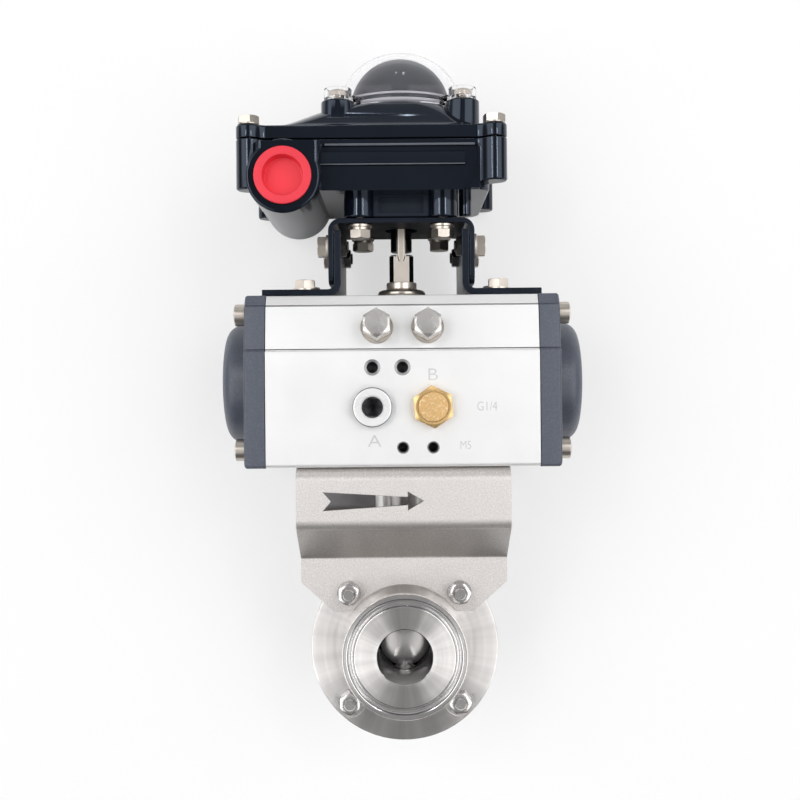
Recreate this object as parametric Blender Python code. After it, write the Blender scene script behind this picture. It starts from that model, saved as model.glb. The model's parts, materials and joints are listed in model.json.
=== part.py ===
"""Pneumatic sanitary butterfly valve: clamp valve, bracket, rack actuator and limit switch box.

Origin: centre of the valve bore on the stem axis. +Z runs up the stem, -Y is the front
ferrule and the port side of the actuator, +X is the right end of the actuator.
"""

import math

import bmesh
import bpy
from mathutils import Matrix

for old in list(bpy.data.objects):
    bpy.data.objects.remove(old, do_unlink=True)

MM = 0.001
GAP = 0.3 * MM
STEPS = 24
SMALL_STEPS = 12
MIDDLE_STEPS = 16
SCREW_STEPS = 12
HOLE_STEPS = 8
OVERCUT = 1.0 * MM

# Clamp valve, one inch size
BORE_R = 11.05 * MM
FERRULE_R = 25.25 * MM
FERRULE_FACE = 33.0 * MM
RIM_THICK = 2.85 * MM
RIM_TAPER = math.radians(20)
GROOVE_FROM_RIM = 3.5 * MM
GROOVE_R = FERRULE_R - GROOVE_FROM_RIM
GROOVE_WIDTH = 3.0 * MM
GROOVE_DEPTH = 1.5 * MM
GROOVE_SLOPE = 0.4 * MM
NECK_R = 15.0 * MM
NECK_FILLET = 1.5 * MM
FLANGE_R = 39.0 * MM
FLANGE_HALF = 12.7 * MM
FLANGE_BEVEL_WIDE = 5.0 * MM
FLANGE_BEVEL_R = FLANGE_R - FLANGE_BEVEL_WIDE
FLANGE_BEVEL_DROP = 1.5 * MM
SEAT_WALL = 5.45 * MM
SEAT_R = BORE_R + SEAT_WALL
SEAT_HALF = 7.0 * MM
STEM_R = 4.2 * MM
STEM_TOP_R = 5.0 * MM
DISC_CLEARANCE = 0.45 * MM
DISC_EDGE_HALF = 1.1 * MM
DISC_BULGE = 3.6 * MM
LENS_POINTS = 5
HUB_R = 5.4 * MM
BUSH_WALL = 2.2 * MM
BUSH_RUNNING_GAP = 0.3 * MM
STEM_SHORT = 13.0 * MM
LOWER_STEM_LENGTH = FLANGE_R - STEM_SHORT

# Flange screws, M5
BRACKET_ARC_PLAY = 0.95 * MM
BRACKET_ARC_R = FERRULE_R + BRACKET_ARC_PLAY
BOLT_CIRCLE_SHARE = 0.48
BOLT_CIRCLE_R = BRACKET_ARC_R + (FLANGE_R - BRACKET_ARC_R) * BOLT_CIRCLE_SHARE
BOLT_SPACING = BOLT_CIRCLE_R * math.sqrt(0.5)
BOLT_R = 2.5 * MM
BOLT_HEX_AF = 8.0 * MM
BOLT_NUT_HIGH = 4.0 * MM
BOLT_HEAD_HIGH = 3.5 * MM
BOLT_END_OUT = 0.9 * MM
BOLT_WASHER_R = 5.0 * MM
BOLT_WASHER_THICK = 1.0 * MM
SPOT_FACE_R = 6.5 * MM
SPOT_FACE_DEEP = 0.5 * MM

# Bent sheet between valve and actuator
SHEET = 2.0 * MM
BRACKET_SLOPE_HIGH = 14.7 * MM
BRACKET_FLARE = 23.3 * MM
BRACKET_WIDTH = 85.5 * MM
BRACKET_TOP = 75.7 * MM
BRACKET_LEG_Y = FLANGE_HALF + BRACKET_FLARE
BRACKET_BEND_DROP = 1.0 * MM
BRACKET_PLATE_TOP = FLANGE_R - BRACKET_BEND_DROP
BRACKET_LEG_LOW = BRACKET_PLATE_TOP + BRACKET_SLOPE_HIGH
BRACKET_PLATE_LOW = 15.1 * MM
BRACKET_BEND_R = 4.0 * MM
BRACKET_CHAMFER_SHARE = 0.16
BRACKET_CHAMFER_X = BRACKET_WIDTH * BRACKET_CHAMFER_SHARE
BRACKET_CHAMFER_Z = 12.4 * MM
BRACKET_SHAFT_HOLE_R = 9.0 * MM
BRACKET_SCREW_SPACING = 12.73 * MM
BRACKET_SCREW_R = 2.5 * MM
BRACKET_SCREW_HEAD_R = 4.2 * MM
BRACKET_SCREW_HEAD_HIGH = 2.8 * MM
BRACKET_SCREW_IN = 6.5 * MM
ARROW_TAIL_SHARE = -0.366
ARROW_TAIL_X = BRACKET_WIDTH * ARROW_TAIL_SHARE
ARROW_NOTCH = 3.2 * MM
ARROW_NECK_SHARE = 0.02
ARROW_NECK_X = BRACKET_WIDTH * ARROW_NECK_SHARE
ARROW_TIP_SHARE = 0.095
ARROW_TIP_X = BRACKET_WIDTH * ARROW_TIP_SHARE
ARROW_DROP = 13.1 * MM
ARROW_Z = BRACKET_TOP - ARROW_DROP
ARROW_TAIL_HALF = 3.7 * MM
ARROW_NECK_HALF = 1.6 * MM
ARROW_HEAD_HALF = 3.7 * MM

# Drive between stem and pinion
COUPLING_R = 12.0 * MM
COUPLING_ABOVE = 3.5 * MM
COUPLING_LOW = FLANGE_R + COUPLING_ABOVE
COUPLING_BELOW = 3.3 * MM
COUPLING_TOP = BRACKET_TOP - COUPLING_BELOW
STEM_SQUARE = 7.0 * MM
STEM_SQUARE_HIGH = 14.0 * MM
DRIVE_SQUARE = 11.0 * MM
DRIVE_SQUARE_HIGH = 13.0 * MM

# Actuator, bore 52
ACT_HEIGHT = 68.8 * MM
ACT_LOW = BRACKET_TOP + GAP
ACT_TOP = ACT_LOW + ACT_HEIGHT
ACT_LENGTH = 109.0 * MM
ACT_AXIS_DROP = 0.4 * MM
ACT_AXIS_Z = ACT_LOW + ACT_HEIGHT / 2 - ACT_AXIS_DROP
ACT_BORE_R = 26.0 * MM
ACT_PAD_WALL = 9.5 * MM
ACT_PAD_Y = ACT_BORE_R + ACT_PAD_WALL
ACT_PAD_DROP = 22.5 * MM
ACT_PAD_TOP = ACT_TOP - ACT_PAD_DROP
ACT_PAD_STEP = 1.2 * MM
ACT_SLOPE_DROP = 4.7 * MM
ACT_SLOPE_TOP = ACT_TOP - ACT_SLOPE_DROP
ACT_SLOPE_IN = 2.4 * MM
ACT_CHAMFER = 2.9 * MM
ACT_EDGE = 1.0 * MM
ACT_BACK_WALL = 5.0 * MM
ACT_BACK_Y = ACT_BORE_R + ACT_BACK_WALL
PORT_SPACING = 24.0 * MM
PORT_DROP = 10.2 * MM
PORT_Z = ACT_AXIS_Z - PORT_DROP
PORT_R = 6.2 * MM
PILOT_R = 2.1 * MM
PILOT_DEEP = 6.0 * MM
PILOT_MOUTH_R = 3.1 * MM
PILOT_RISE = 5.6 * MM
PILOT_UPPER_Z = ACT_AXIS_Z + PILOT_RISE
PILOT_ABOVE = 7.7 * MM
PILOT_LOWER_Z = ACT_LOW + PILOT_ABOVE
STOP_X = 10.1 * MM
STOP_DROP = 13.3 * MM
STOP_Z = ACT_TOP - STOP_DROP
STOP_R = 3.0 * MM
STOP_IN = 12.0 * MM
STOP_OUT = 10.5 * MM
STOP_HEX_AF = 10.4 * MM
STOP_HEX_HIGH = 9.2 * MM
STOP_WASHER_R = 6.5 * MM
STOP_WASHER_THICK = 1.2 * MM

# Port fittings
PLUG_R = 7.9 * MM
PLUG_PROUD = 4.0 * MM
PLUG_HEX_AF = 8.2 * MM
PLUG_HEX_DEEP = 9.0 * MM
PORT_SHANK_IN = 8.5 * MM
SILENCER_AF = 14.0 * MM
SILENCER_PROUD = 5.0 * MM
SILENCER_DISC_R = 6.0 * MM
SILENCER_DISC_HIGH = 0.6 * MM
SILENCER_BORE_R = 3.5 * MM

# End caps
CAP_THICK = 8.4 * MM
CAP_MARGIN = 0.25 * MM
CAP_BEVEL = 1.2 * MM
CAP_BULGE_INSET = 1.0 * MM
CAP_BULGE_R = ACT_BORE_R - CAP_BULGE_INSET
CAP_BULGE_OUT = 10.6 * MM
CAP_BULGE_ROUND = 6.0 * MM
CAP_ROUND_POINTS = 4
CAP_POCKET_INSET = 5.5 * MM
CAP_POCKET_R = ACT_BORE_R - CAP_POCKET_INSET
CAP_POCKET_WALL = 3.0 * MM
CAP_SPIGOT = 2.0 * MM
CAP_SCREW_INSET = 2.0 * MM
CAP_SCREW_Y = ACT_BORE_R - CAP_SCREW_INSET
CAP_SCREW_DROP = 7.3 * MM
CAP_SCREW_HIGH_Z = ACT_TOP - CAP_SCREW_DROP
CAP_SCREW_RISE = 6.8 * MM
CAP_SCREW_LOW_Z = ACT_LOW + CAP_SCREW_RISE
CAP_SCREW_R = 2.4 * MM
CAP_SCREW_HEAD_R = 4.45 * MM
CAP_SCREW_HEAD_HIGH = 4.3 * MM
CAP_SCREW_EDGE = 0.5 * MM
CAP_SCREW_IN = 10.0 * MM

# Rack and pinion
MODULE = 1.5 * MM
TEETH = 12
PRESSURE_ANGLE = math.radians(25)
ADDENDUM = 0.9
DEDENDUM = 1.15
BACKLASH = 0.4 * MM
FLANK_POINTS = 3
GEAR_HALF_WIDTH = 10.0 * MM
RACK_SIDE_GAP = 0.3 * MM
PITCH_R = MODULE * TEETH / 2
JOURNAL_LOW_R = 10.0 * MM
JOURNAL_TOP_R = 9.0 * MM
BEARING_WALL = 2.6 * MM
BEARING_LONG = 8.0 * MM
BEARING_LIP = 0.9 * MM
BEARING_FLANGE_THICK = 1.4 * MM
THRUST_R = 10.1 * MM
THRUST_THICK = 2.4 * MM
COLLAR_R = 6.5 * MM
COLLAR_HIGH = 3.0 * MM
HEAD_SQUARE = 10.2 * MM
HEAD_HIGH = 19.4 * MM
HEAD_TOP = ACT_TOP + HEAD_HIGH
HEAD_CORNER = 1.8 * MM
HEAD_TOP_CHAMFER = 0.8 * MM
HEAD_SLOT_WIDE = 4.0 * MM
HEAD_SLOT_DEEP = 2.8 * MM

# Pistons and springs
PISTON_CLEARANCE = 0.3 * MM
PISTON_INNER_X = 22.0 * MM
PISTON_THICK = 10.0 * MM
PISTON_WALL = 6.0 * MM
PISTON_RECESS_R = ACT_BORE_R - PISTON_WALL
PISTON_WEB = 4.0 * MM
PISTON_GROOVE_WIDE = 3.2 * MM
PISTON_GROOVE_DEEP = 1.6 * MM
RACK_REACH = 20.5 * MM
RACK_BACK_INSET = 3.0 * MM
RACK_BACK_Y = ACT_BORE_R - RACK_BACK_INSET
SPRING_INSET = 9.5 * MM
SPRING_R = ACT_BORE_R - SPRING_INSET
SPRING_WIRE_R = 1.3 * MM
SPRING_TURNS = 4.5
SPRING_POINTS = 10

# Upper bracket: one U sheet on two angle feet
U_HALF_WIDTH = 29.8 * MM
U_HIGH = 31.9 * MM
U_TOP = ACT_TOP + U_HIGH
U_LEG_ABOVE = 5.1 * MM
U_LEG_LOW = ACT_TOP + U_LEG_ABOVE
U_DEPTH = 48.0 * MM
U_TAPER = 4.0 * MM
U_HOLE_R = 7.0 * MM
FOOT_OVER = 2.2 * MM
FOOT_REACH = ACT_LENGTH / 2 + FOOT_OVER
FOOT_LEG_HIGH = 27.2 * MM
FOOT_LEG_TOP = ACT_TOP + FOOT_LEG_HIGH
FOOT_BOLT_INSET = 14.5 * MM
FOOT_BOLT_X = ACT_LENGTH / 2 - FOOT_BOLT_INSET
FOOT_BOLT_Y = 15.0 * MM
BOX_BOLT_EDGE = 4.5 * MM
BOX_BOLT_Y = U_DEPTH / 2 - BOX_BOLT_EDGE
M5_R = 2.4 * MM
M5_HEX_AF = 8.0 * MM
M5_HEX_HIGH = 3.5 * MM
M5_WASHER_R = 5.0 * MM
M5_WASHER_THICK = 1.0 * MM
M5_HOLE_PLAY = 0.3 * MM
FOOT_BOLT_IN = 7.0 * MM
SIDE_BOLT_HIGH = 20.7 * MM
SIDE_BOLT_Z = ACT_TOP + SIDE_BOLT_HIGH
BOX_BOLT_INSET = 12.9 * MM
BOX_BOLT_X = U_HALF_WIDTH - BOX_BOLT_INSET
BOX_BOLT_IN = 7.0 * MM
BOX_BOLT_SPRING_R = 4.3 * MM
BOX_BOLT_SPRING_THICK = 1.2 * MM

# Limit switch box
BOX_CENTRE_X = -11.5 * MM
BOX_HALF_X = 47.0 * MM
BOX_HALF_Y = 36.5 * MM
BOX_CORNER_R = 8.0 * MM
BOX_ABOVE = 9.3 * MM
BOX_LOW = U_TOP + BOX_ABOVE
BASE_HIGH = 20.1 * MM
BOX_SEAM = BOX_LOW + BASE_HIGH
RIM_HIGH = 4.9 * MM
BOX_RIM_TOP = BOX_SEAM + RIM_HIGH
BOX_WALL = 3.0 * MM
GASKET_THICK = 1.0 * MM
GASKET_WIDE = 2.0 * MM
LUG_OUT = 1.7 * MM
LUG_X = BOX_HALF_X + LUG_OUT
LUG_INSET = 1.5 * MM
LUG_Y = BOX_HALF_Y - LUG_INSET
LUG_R = 5.0 * MM
LUG_RIGHT_SHORT = 3.0 * MM
PEDESTAL_LOW = U_TOP + GAP
PEDESTAL_SIDE = 5.6 * MM
PEDESTAL_HALF_X = BOX_BOLT_X + PEDESTAL_SIDE
PEDESTAL_FRONT = 2.5 * MM
PEDESTAL_HALF_Y = BOX_BOLT_Y + PEDESTAL_FRONT
PEDESTAL_CORNER_R = 6.0 * MM
PEDESTAL_BOSS_R = 6.45 * MM
PANEL_LEFT_INSET = 23.2 * MM
PANEL_LEFT = BOX_CENTRE_X - BOX_HALF_X + PANEL_LEFT_INSET
PANEL_RIGHT_INSET = 4.5 * MM
PANEL_RIGHT = BOX_CENTRE_X + BOX_HALF_X - PANEL_RIGHT_INSET
PANEL_DROP = 2.5 * MM
PANEL_TOP = BOX_SEAM - PANEL_DROP
PANEL_DEEP = 2.0 * MM
LEDGE_LEFT_INSET = 3.3 * MM
LEDGE_LEFT = PANEL_LEFT + LEDGE_LEFT_INSET
LEDGE_RIGHT_INSET = 5.5 * MM
LEDGE_RIGHT = PANEL_RIGHT - LEDGE_RIGHT_INSET
LEDGE_RISE = 10.0 * MM
LEDGE_LOW = BOX_LOW + LEDGE_RISE
LEDGE_RISE_TOP = 15.4 * MM
LEDGE_TOP = BOX_LOW + LEDGE_RISE_TOP
LEDGE_OUT = 2.0 * MM
CONDUIT_INSET = 12.3 * MM
CONDUIT_X = BOX_CENTRE_X - BOX_HALF_X + CONDUIT_INSET
CONDUIT_RISE = 4.7 * MM
CONDUIT_Z = BOX_LOW + CONDUIT_RISE
CONDUIT_R = 14.6 * MM
CONDUIT_OUT = 5.5 * MM
CONDUIT_FRONT = -BOX_HALF_Y - CONDUIT_OUT
CONDUIT_SHORT = 2.5 * MM
CONDUIT_BACK = BOX_HALF_Y - CONDUIT_SHORT
CONDUIT_BORE_R = 9.8 * MM
CONDUIT_BORE_DEEP = 22.0 * MM
CONDUIT_ROUND = 3.0 * MM
RED_PLUG_RIM = 1.5 * MM
RED_PLUG_R = CONDUIT_BORE_R + RED_PLUG_RIM
RED_PLUG_PROUD = 1.6 * MM
RED_PLUG_WALL = 3.6 * MM
RED_PLUG_RECESS_R = RED_PLUG_R - RED_PLUG_WALL
RED_PLUG_RECESS_DEEP = 5.0 * MM
RED_PLUG_IN = 12.0 * MM
HOOD_R = 27.0 * MM
HOOD_HIGH = 12.4 * MM
HOOD_TOP = BOX_RIM_TOP + HOOD_HIGH
HOOD_RINGS = 5
HOOD_INNER_RINGS = 2
HOOD_CURVE = 2.2
HOOD_WALL = 3.0 * MM
DOME_BOSS_INSET = 1.8 * MM
DOME_BOSS_XY = HOOD_R - DOME_BOSS_INSET
DOME_BOSS_R = 6.8 * MM
DOME_BOSS_RISE = 2.0 * MM
DOME_BOSS_LOW = BOX_RIM_TOP + DOME_BOSS_RISE
COVER_SCREW_R = 2.0 * MM
COVER_SCREW_AF = 8.2 * MM
COVER_SCREW_HIGH = 3.4 * MM
COVER_SCREW_WASHER_R = 4.6 * MM
COVER_SCREW_WASHER_THICK = 0.8 * MM
COVER_SCREW_IN = 11.0 * MM

# Indicator and its clear dome
DOME_INSET = 2.0 * MM
DOME_R = HOOD_R - DOME_INSET
DOME_FLANGE_OUT = 1.0 * MM
DOME_FLANGE_R = DOME_R + DOME_FLANGE_OUT
DOME_FLANGE_HIGH = 4.6 * MM
DOME_FLANGE_TOP = HOOD_TOP + DOME_FLANGE_HIGH
DOME_HIGH = 27.6 * MM
DOME_TOP = HOOD_TOP + DOME_HIGH
DOME_WALL = 1.6 * MM
DOME_LUG_INSET = 1.2 * MM
DOME_LUG_R = DOME_BOSS_R - DOME_LUG_INSET
DOME_LUG_HIGH = 5.3 * MM
DOME_LUG_TOP = HOOD_TOP + DOME_LUG_HIGH
DOME_WEB_HALF = 4.0 * MM
DOME_WEB_THICK = 2.5 * MM
INDICATOR_INSET = 4.7 * MM
INDICATOR_R = DOME_R - INDICATOR_INSET
INDICATOR_RISE = 1.6 * MM
INDICATOR_LOW = HOOD_TOP + INDICATOR_RISE
INDICATOR_DROP = 2.6 * MM
INDICATOR_TOP = DOME_TOP - INDICATOR_DROP
INDICATOR_WALL = 2.0 * MM
INDICATOR_HUB_R = 7.5 * MM
DOME_RINGS = 4

# Switch shaft, cams and switches
SHAFT_R = 4.5 * MM
SHAFT_RISE = 1.4 * MM
SHAFT_LOW = HEAD_TOP + SHAFT_RISE
SHAFT_HIGH = 14.6 * MM
SHAFT_TOP = HOOD_TOP + SHAFT_HIGH
SHAFT_PLAY = 0.4 * MM
TONGUE_HIGH = 3.6 * MM
TONGUE_PLAY = 0.6 * MM
TONGUE_THICK = HEAD_SLOT_WIDE - TONGUE_PLAY
TONGUE_WIDE = 8.0 * MM
CAM_R = 8.0 * MM
CAM_LOBE = 2.5 * MM
CAM_THICK = 3.0 * MM
CAM_RISE = 7.0 * MM
CAM_LOWER_Z = BOX_LOW + CAM_RISE
CAM_STEP = 7.0 * MM
SWITCH_LONG = 20.0 * MM
SWITCH_WIDE = 9.0 * MM
SWITCH_HIGH = 6.2 * MM
SWITCH_PLUNGER = 1.5 * MM

ACT_HALF = ACT_LENGTH / 2
CAP_FACE_X = ACT_HALF + GAP + CAP_THICK
SHEET_PLAY_R = M5_R + M5_HOLE_PLAY
BOX_FLOOR_TOP = BOX_LOW + BOX_WALL
QUARTER = math.pi / 2


def material(name, colour, roughness, metallic=0.0, alpha=1.0):
    made = bpy.data.materials.new(name)
    made.use_nodes = True
    shader = made.node_tree.nodes["Principled BSDF"]
    shader.inputs["Base Color"].default_value = (*colour, 1.0)
    shader.inputs["Roughness"].default_value = roughness
    shader.inputs["Metallic"].default_value = metallic
    shader.inputs["Alpha"].default_value = alpha
    made.diffuse_color = (*colour, 1.0)
    return made


STAINLESS = (0.62, 0.60, 0.58)
COLOURS = {
    "turned": (STAINLESS, 0.22, 1.0),
    "polished": ((0.60, 0.58, 0.57), 0.10, 1.0),
    "blasted": ((0.48, 0.45, 0.43), 0.55, 1.0),
    "screw": ((0.66, 0.62, 0.56), 0.25, 1.0),
    "aluminium": ((0.80, 0.79, 0.78), 0.42, 1.0),
    "slate": ((0.055, 0.070, 0.090), 0.48, 0.0),
    "black": ((0.010, 0.011, 0.013), 0.35, 0.0),
    "gloss": ((0.008, 0.012, 0.020), 0.12, 0.0),
    "rubber": ((0.03, 0.03, 0.03), 0.80, 0.0),
    "plastic": ((0.75, 0.73, 0.68), 0.50, 0.0),
    "brass": ((0.68, 0.44, 0.18), 0.35, 1.0),
    "red": ((0.85, 0.035, 0.06), 0.45, 0.0),
    "dark": ((0.02, 0.022, 0.026), 0.30, 0.0),
    "spring": ((0.30, 0.31, 0.33), 0.35, 1.0),
}


def fresh_bmesh(build):
    mesh = bmesh.new()
    build(mesh)
    bmesh.ops.recalc_face_normals(mesh, faces=mesh.faces)
    return mesh


def running(radius, steps=SMALL_STEPS):
    """Corner radius of a faceted hole whose flats clear a turning journal."""
    return (radius + BUSH_RUNNING_GAP) / math.cos(math.pi / steps)


def turned(profile, steps=STEPS):
    """Closed profile of (radius, height) points spun round Z."""

    def build(mesh):
        points = [mesh.verts.new((radius, 0, height)) for radius, height in profile]
        edges = [mesh.edges.new(pair) for pair in zip(points, points[1:])]
        if profile[0][0] > 0 or profile[-1][0] > 0:
            edges.append(mesh.edges.new((points[-1], points[0])))
        bmesh.ops.spin(
            mesh, geom=points + edges, cent=(0, 0, 0), axis=(0, 0, 1), angle=math.tau, steps=steps
        )
        bmesh.ops.remove_doubles(mesh, verts=mesh.verts, dist=0.002 * MM)

    return fresh_bmesh(build)


def prism(outline, low, high):
    """Outline in XY raised from one height to another."""

    def build(mesh):
        base = mesh.faces.new([mesh.verts.new((x, y, low)) for x, y in outline])
        raised = bmesh.ops.extrude_face_region(mesh, geom=[base])
        top = [item for item in raised["geom"] if isinstance(item, bmesh.types.BMVert)]
        bmesh.ops.translate(mesh, verts=top, vec=(0, 0, high - low))

    return fresh_bmesh(build)


def loft(sections):
    """Stack of (outline, height) with as many points each, bridged and capped."""

    def build(mesh):
        rings = [
            [mesh.verts.new((x, y, height)) for x, y in outline] for outline, height in sections
        ]
        for below, above in zip(rings, rings[1:]):
            for index in range(len(below)):
                following = (index + 1) % len(below)
                mesh.faces.new((below[index], below[following], above[following], above[index]))
        mesh.faces.new(rings[0])
        mesh.faces.new(rings[-1])

    return fresh_bmesh(build)


def regular(radius, sides, steps):
    """Points round a circle, or round a polygon of which radius is half the flats."""
    points = []
    for index in range(steps):
        angle = math.tau * index / steps
        reach = radius
        if sides:
            half = math.pi / sides
            reach = radius / math.cos((angle % (2 * half)) - half)
        points.append((reach * math.cos(angle), reach * math.sin(angle)))
    return points


def stacked(levels, steps=HOLE_STEPS):
    """Round and many-sided sections as (radius, sides, height), bottom cap to top cap."""
    return loft([(regular(radius, sides, steps), height) for radius, sides, height in levels])


def rounded_rectangle(half_x, half_y, corner_r, centre_x=0.0, per_corner=4):
    points = []
    for quarter, (sign_x, sign_y) in enumerate(((1, 1), (-1, 1), (-1, -1), (1, -1))):
        for index in range(per_corner):
            angle = QUARTER * (quarter + index / (per_corner - 1))
            points.append(
                (
                    centre_x + sign_x * (half_x - corner_r) + corner_r * math.cos(angle),
                    sign_y * (half_y - corner_r) + corner_r * math.sin(angle),
                )
            )
    return points


def moved(mesh, offset=(0, 0, 0), rotation=None):
    if rotation is not None:
        bmesh.ops.transform(mesh, matrix=rotation, verts=mesh.verts)
    bmesh.ops.translate(mesh, verts=mesh.verts, vec=offset)
    return mesh


def together(meshes):
    """Separate bodies in one mesh, for cutters."""
    whole = bmesh.new()
    for mesh in meshes:
        part = bpy.data.meshes.new("part")
        mesh.to_mesh(part)
        mesh.free()
        whole.from_mesh(part)
        bpy.data.meshes.remove(part)
    return whole


def cylinder(radius, low, high, centre=(0, 0), steps=SMALL_STEPS):
    mesh = stacked([(radius, 0, low), (radius, 0, high)], steps)
    return moved(mesh, (centre[0], centre[1], 0))


def block(low, high):
    return prism(
        [(low[0], low[1]), (high[0], low[1]), (high[0], high[1]), (low[0], high[1])],
        low[2],
        high[2],
    )


def turn(degrees, axis):
    return Matrix.Rotation(math.radians(degrees), 4, axis)


# Directions in which a shape built along +Z is laid
TO_FRONT = turn(90, "X")
TO_BACK = turn(-90, "X")
TO_RIGHT = turn(90, "Y")
TO_LEFT = turn(-90, "Y")
# A section drawn as (y, z) and raised along Z comes to lie along X
SECTION_TO_X = Matrix(((0, 0, 1, 0), (1, 0, 0, 0), (0, 1, 0, 0), (0, 0, 0, 1)))


def make(name, mesh, look, location=(0, 0, 0), rotation=(0, 0, 0), parent=None):
    data = bpy.data.meshes.new(name)
    mesh.to_mesh(data)
    mesh.free()
    piece = bpy.data.objects.new(name, data)
    bpy.context.collection.objects.link(piece)
    piece.location = location
    piece.rotation_euler = rotation
    piece.parent = parent
    if look:
        colour, roughness, metallic = COLOURS[look]
        data.materials.append(material(name, colour, roughness, metallic))
        data.shade_smooth()
        data.set_sharp_from_angle(angle=math.radians(32))
    return piece


def share(name, original, location, rotation=(0, 0, 0)):
    """Another piece with the same mesh."""
    piece = bpy.data.objects.new(name, original.data)
    bpy.context.collection.objects.link(piece)
    piece.location = location
    piece.rotation_euler = rotation
    return piece


def combine(piece, mesh, operation, name):
    """Boolean with a helper shape in the same place as the piece's own origin and parent."""
    helper = make(name, mesh, None, piece.location, piece.rotation_euler, piece.parent)
    helper.hide_render = True
    helper.display_type = "WIRE"
    step = piece.modifiers.new(name, "BOOLEAN")
    step.operation = operation
    step.solver = "EXACT"
    step.object = helper


def cut(piece, mesh, name):
    combine(piece, mesh, "DIFFERENCE", name)


def join(piece, mesh, name):
    combine(piece, mesh, "UNION", name)


def empty(name, location):
    axis = bpy.data.objects.new(name, None)
    bpy.context.collection.objects.link(axis)
    axis.location = location
    return axis


stem_axis = empty("stem_axis", (0, 0, 0))

# Valve body halves
rim_slope = (FERRULE_R - NECK_R) * math.tan(RIM_TAPER)
groove_in = GROOVE_R - GROOVE_WIDTH / 2
groove_out = GROOVE_R + GROOVE_WIDTH / 2
seat_pocket_r = SEAT_R + GAP
seat_pocket_half = SEAT_HALF + GAP
BODY_PROFILE = [
    (BORE_R, FERRULE_FACE),
    (groove_in, FERRULE_FACE),
    (groove_in + GROOVE_SLOPE, FERRULE_FACE - GROOVE_DEPTH),
    (groove_out - GROOVE_SLOPE, FERRULE_FACE - GROOVE_DEPTH),
    (groove_out, FERRULE_FACE),
    (FERRULE_R, FERRULE_FACE),
    (FERRULE_R, FERRULE_FACE - RIM_THICK),
    (NECK_R, FERRULE_FACE - RIM_THICK - rim_slope),
    (NECK_R, FLANGE_HALF + NECK_FILLET),
    (NECK_R + NECK_FILLET, FLANGE_HALF),
    (FLANGE_BEVEL_R, FLANGE_HALF),
    (FLANGE_R, FLANGE_HALF - FLANGE_BEVEL_DROP),
    (FLANGE_R, GAP / 2),
    (seat_pocket_r, GAP / 2),
    (seat_pocket_r, seat_pocket_half),
    (BORE_R, seat_pocket_half),
]
bush_r = STEM_TOP_R + BUSH_RUNNING_GAP + BUSH_WALL
lower_bush_r = STEM_R + BUSH_RUNNING_GAP + BUSH_WALL
lower_bush_end = LOWER_STEM_LENGTH + GAP + BUSH_WALL
bolt_places = {
    "upper_left": (-BOLT_SPACING, BOLT_SPACING),
    "upper_right": (BOLT_SPACING, BOLT_SPACING),
    "lower_left": (-BOLT_SPACING, -BOLT_SPACING),
    "lower_right": (BOLT_SPACING, -BOLT_SPACING),
}


def stem_passage():
    upper = cylinder(bush_r + GAP, 0, FLANGE_R + OVERCUT)
    lower = cylinder(lower_bush_r + GAP, -lower_bush_end - GAP, 0)
    return together([upper, lower])


def flange_holes(side):
    """Through holes, and spot faces at the two lower screws, in the half's own frame."""
    holes = []
    for x, z in bolt_places.values():
        holes.append(
            cylinder(BOLT_R + GAP, -OVERCUT, FLANGE_HALF + OVERCUT, (x, side * z), HOLE_STEPS)
        )
    for x, z in list(bolt_places.values())[2:]:
        low = FLANGE_HALF - SPOT_FACE_DEEP
        holes.append(
            cylinder(SPOT_FACE_R, low, FLANGE_HALF + OVERCUT, (x, side * z))
        )
    return holes


for name, side, tilt in (("valve_body_front", 1, QUARTER), ("valve_body_rear", -1, -QUARTER)):
    half = make(name, turned(BODY_PROFILE), "turned", rotation=(tilt, 0, 0))
    passage = moved(stem_passage(), rotation=turn(-90 * side, "X"))
    cut(half, passage, name + "_stem_passage")
    drilled = flange_holes(side)
    cut(half, together(drilled[:4]), name + "_screw_holes")
    cut(half, together(drilled[4:]), name + "_spot_faces")

# Rubber seat with its two stem holes
seat = make(
    "seat_ring",
    turned(
        [
            (BORE_R, SEAT_HALF),
            (SEAT_R, SEAT_HALF),
            (SEAT_R, -SEAT_HALF),
            (BORE_R, -SEAT_HALF),
        ]
    ),
    "rubber",
    rotation=(QUARTER, 0, 0),
)
seat_hole = moved(
    cylinder(running(HUB_R), -SEAT_R - OVERCUT, SEAT_R + OVERCUT),
    rotation=TO_BACK,
)
cut(seat, seat_hole, "seat_stem_hole")

# Bushes
bush_low = SEAT_R + 2 * GAP
make(
    "stem_bush_upper",
    turned(
        [
            (running(STEM_TOP_R), bush_low),
            (running(STEM_TOP_R), FLANGE_R + BEARING_FLANGE_THICK),
            (bush_r, FLANGE_R + BEARING_FLANGE_THICK),
            (bush_r, bush_low),
        ],
        SMALL_STEPS,
    ),
    "plastic",
)
make(
    "stem_bush_lower",
    turned(
        [
            (0, -LOWER_STEM_LENGTH - GAP),
            (running(STEM_R), -LOWER_STEM_LENGTH - GAP),
            (running(STEM_R), -bush_low),
            (lower_bush_r, -bush_low),
            (lower_bush_r, -lower_bush_end),
            (0, -lower_bush_end),
        ],
        SMALL_STEPS,
    ),
    "plastic",
)

# Closed disc with its hubs, and the stem up to the coupling
disc_r = BORE_R - DISC_CLEARANCE


def lens_profile():
    """Half of the disc's section: a flat edge and two bulging faces."""
    upper = []
    for index in range(LENS_POINTS):
        radius = disc_r * math.sin(QUARTER * index / (LENS_POINTS - 1))
        share_out = radius / disc_r
        height = DISC_EDGE_HALF + (DISC_BULGE - DISC_EDGE_HALF) * (1 - share_out**2)
        upper.append((radius, height))
    return upper + [(radius, -height) for radius, height in reversed(upper)]


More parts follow.
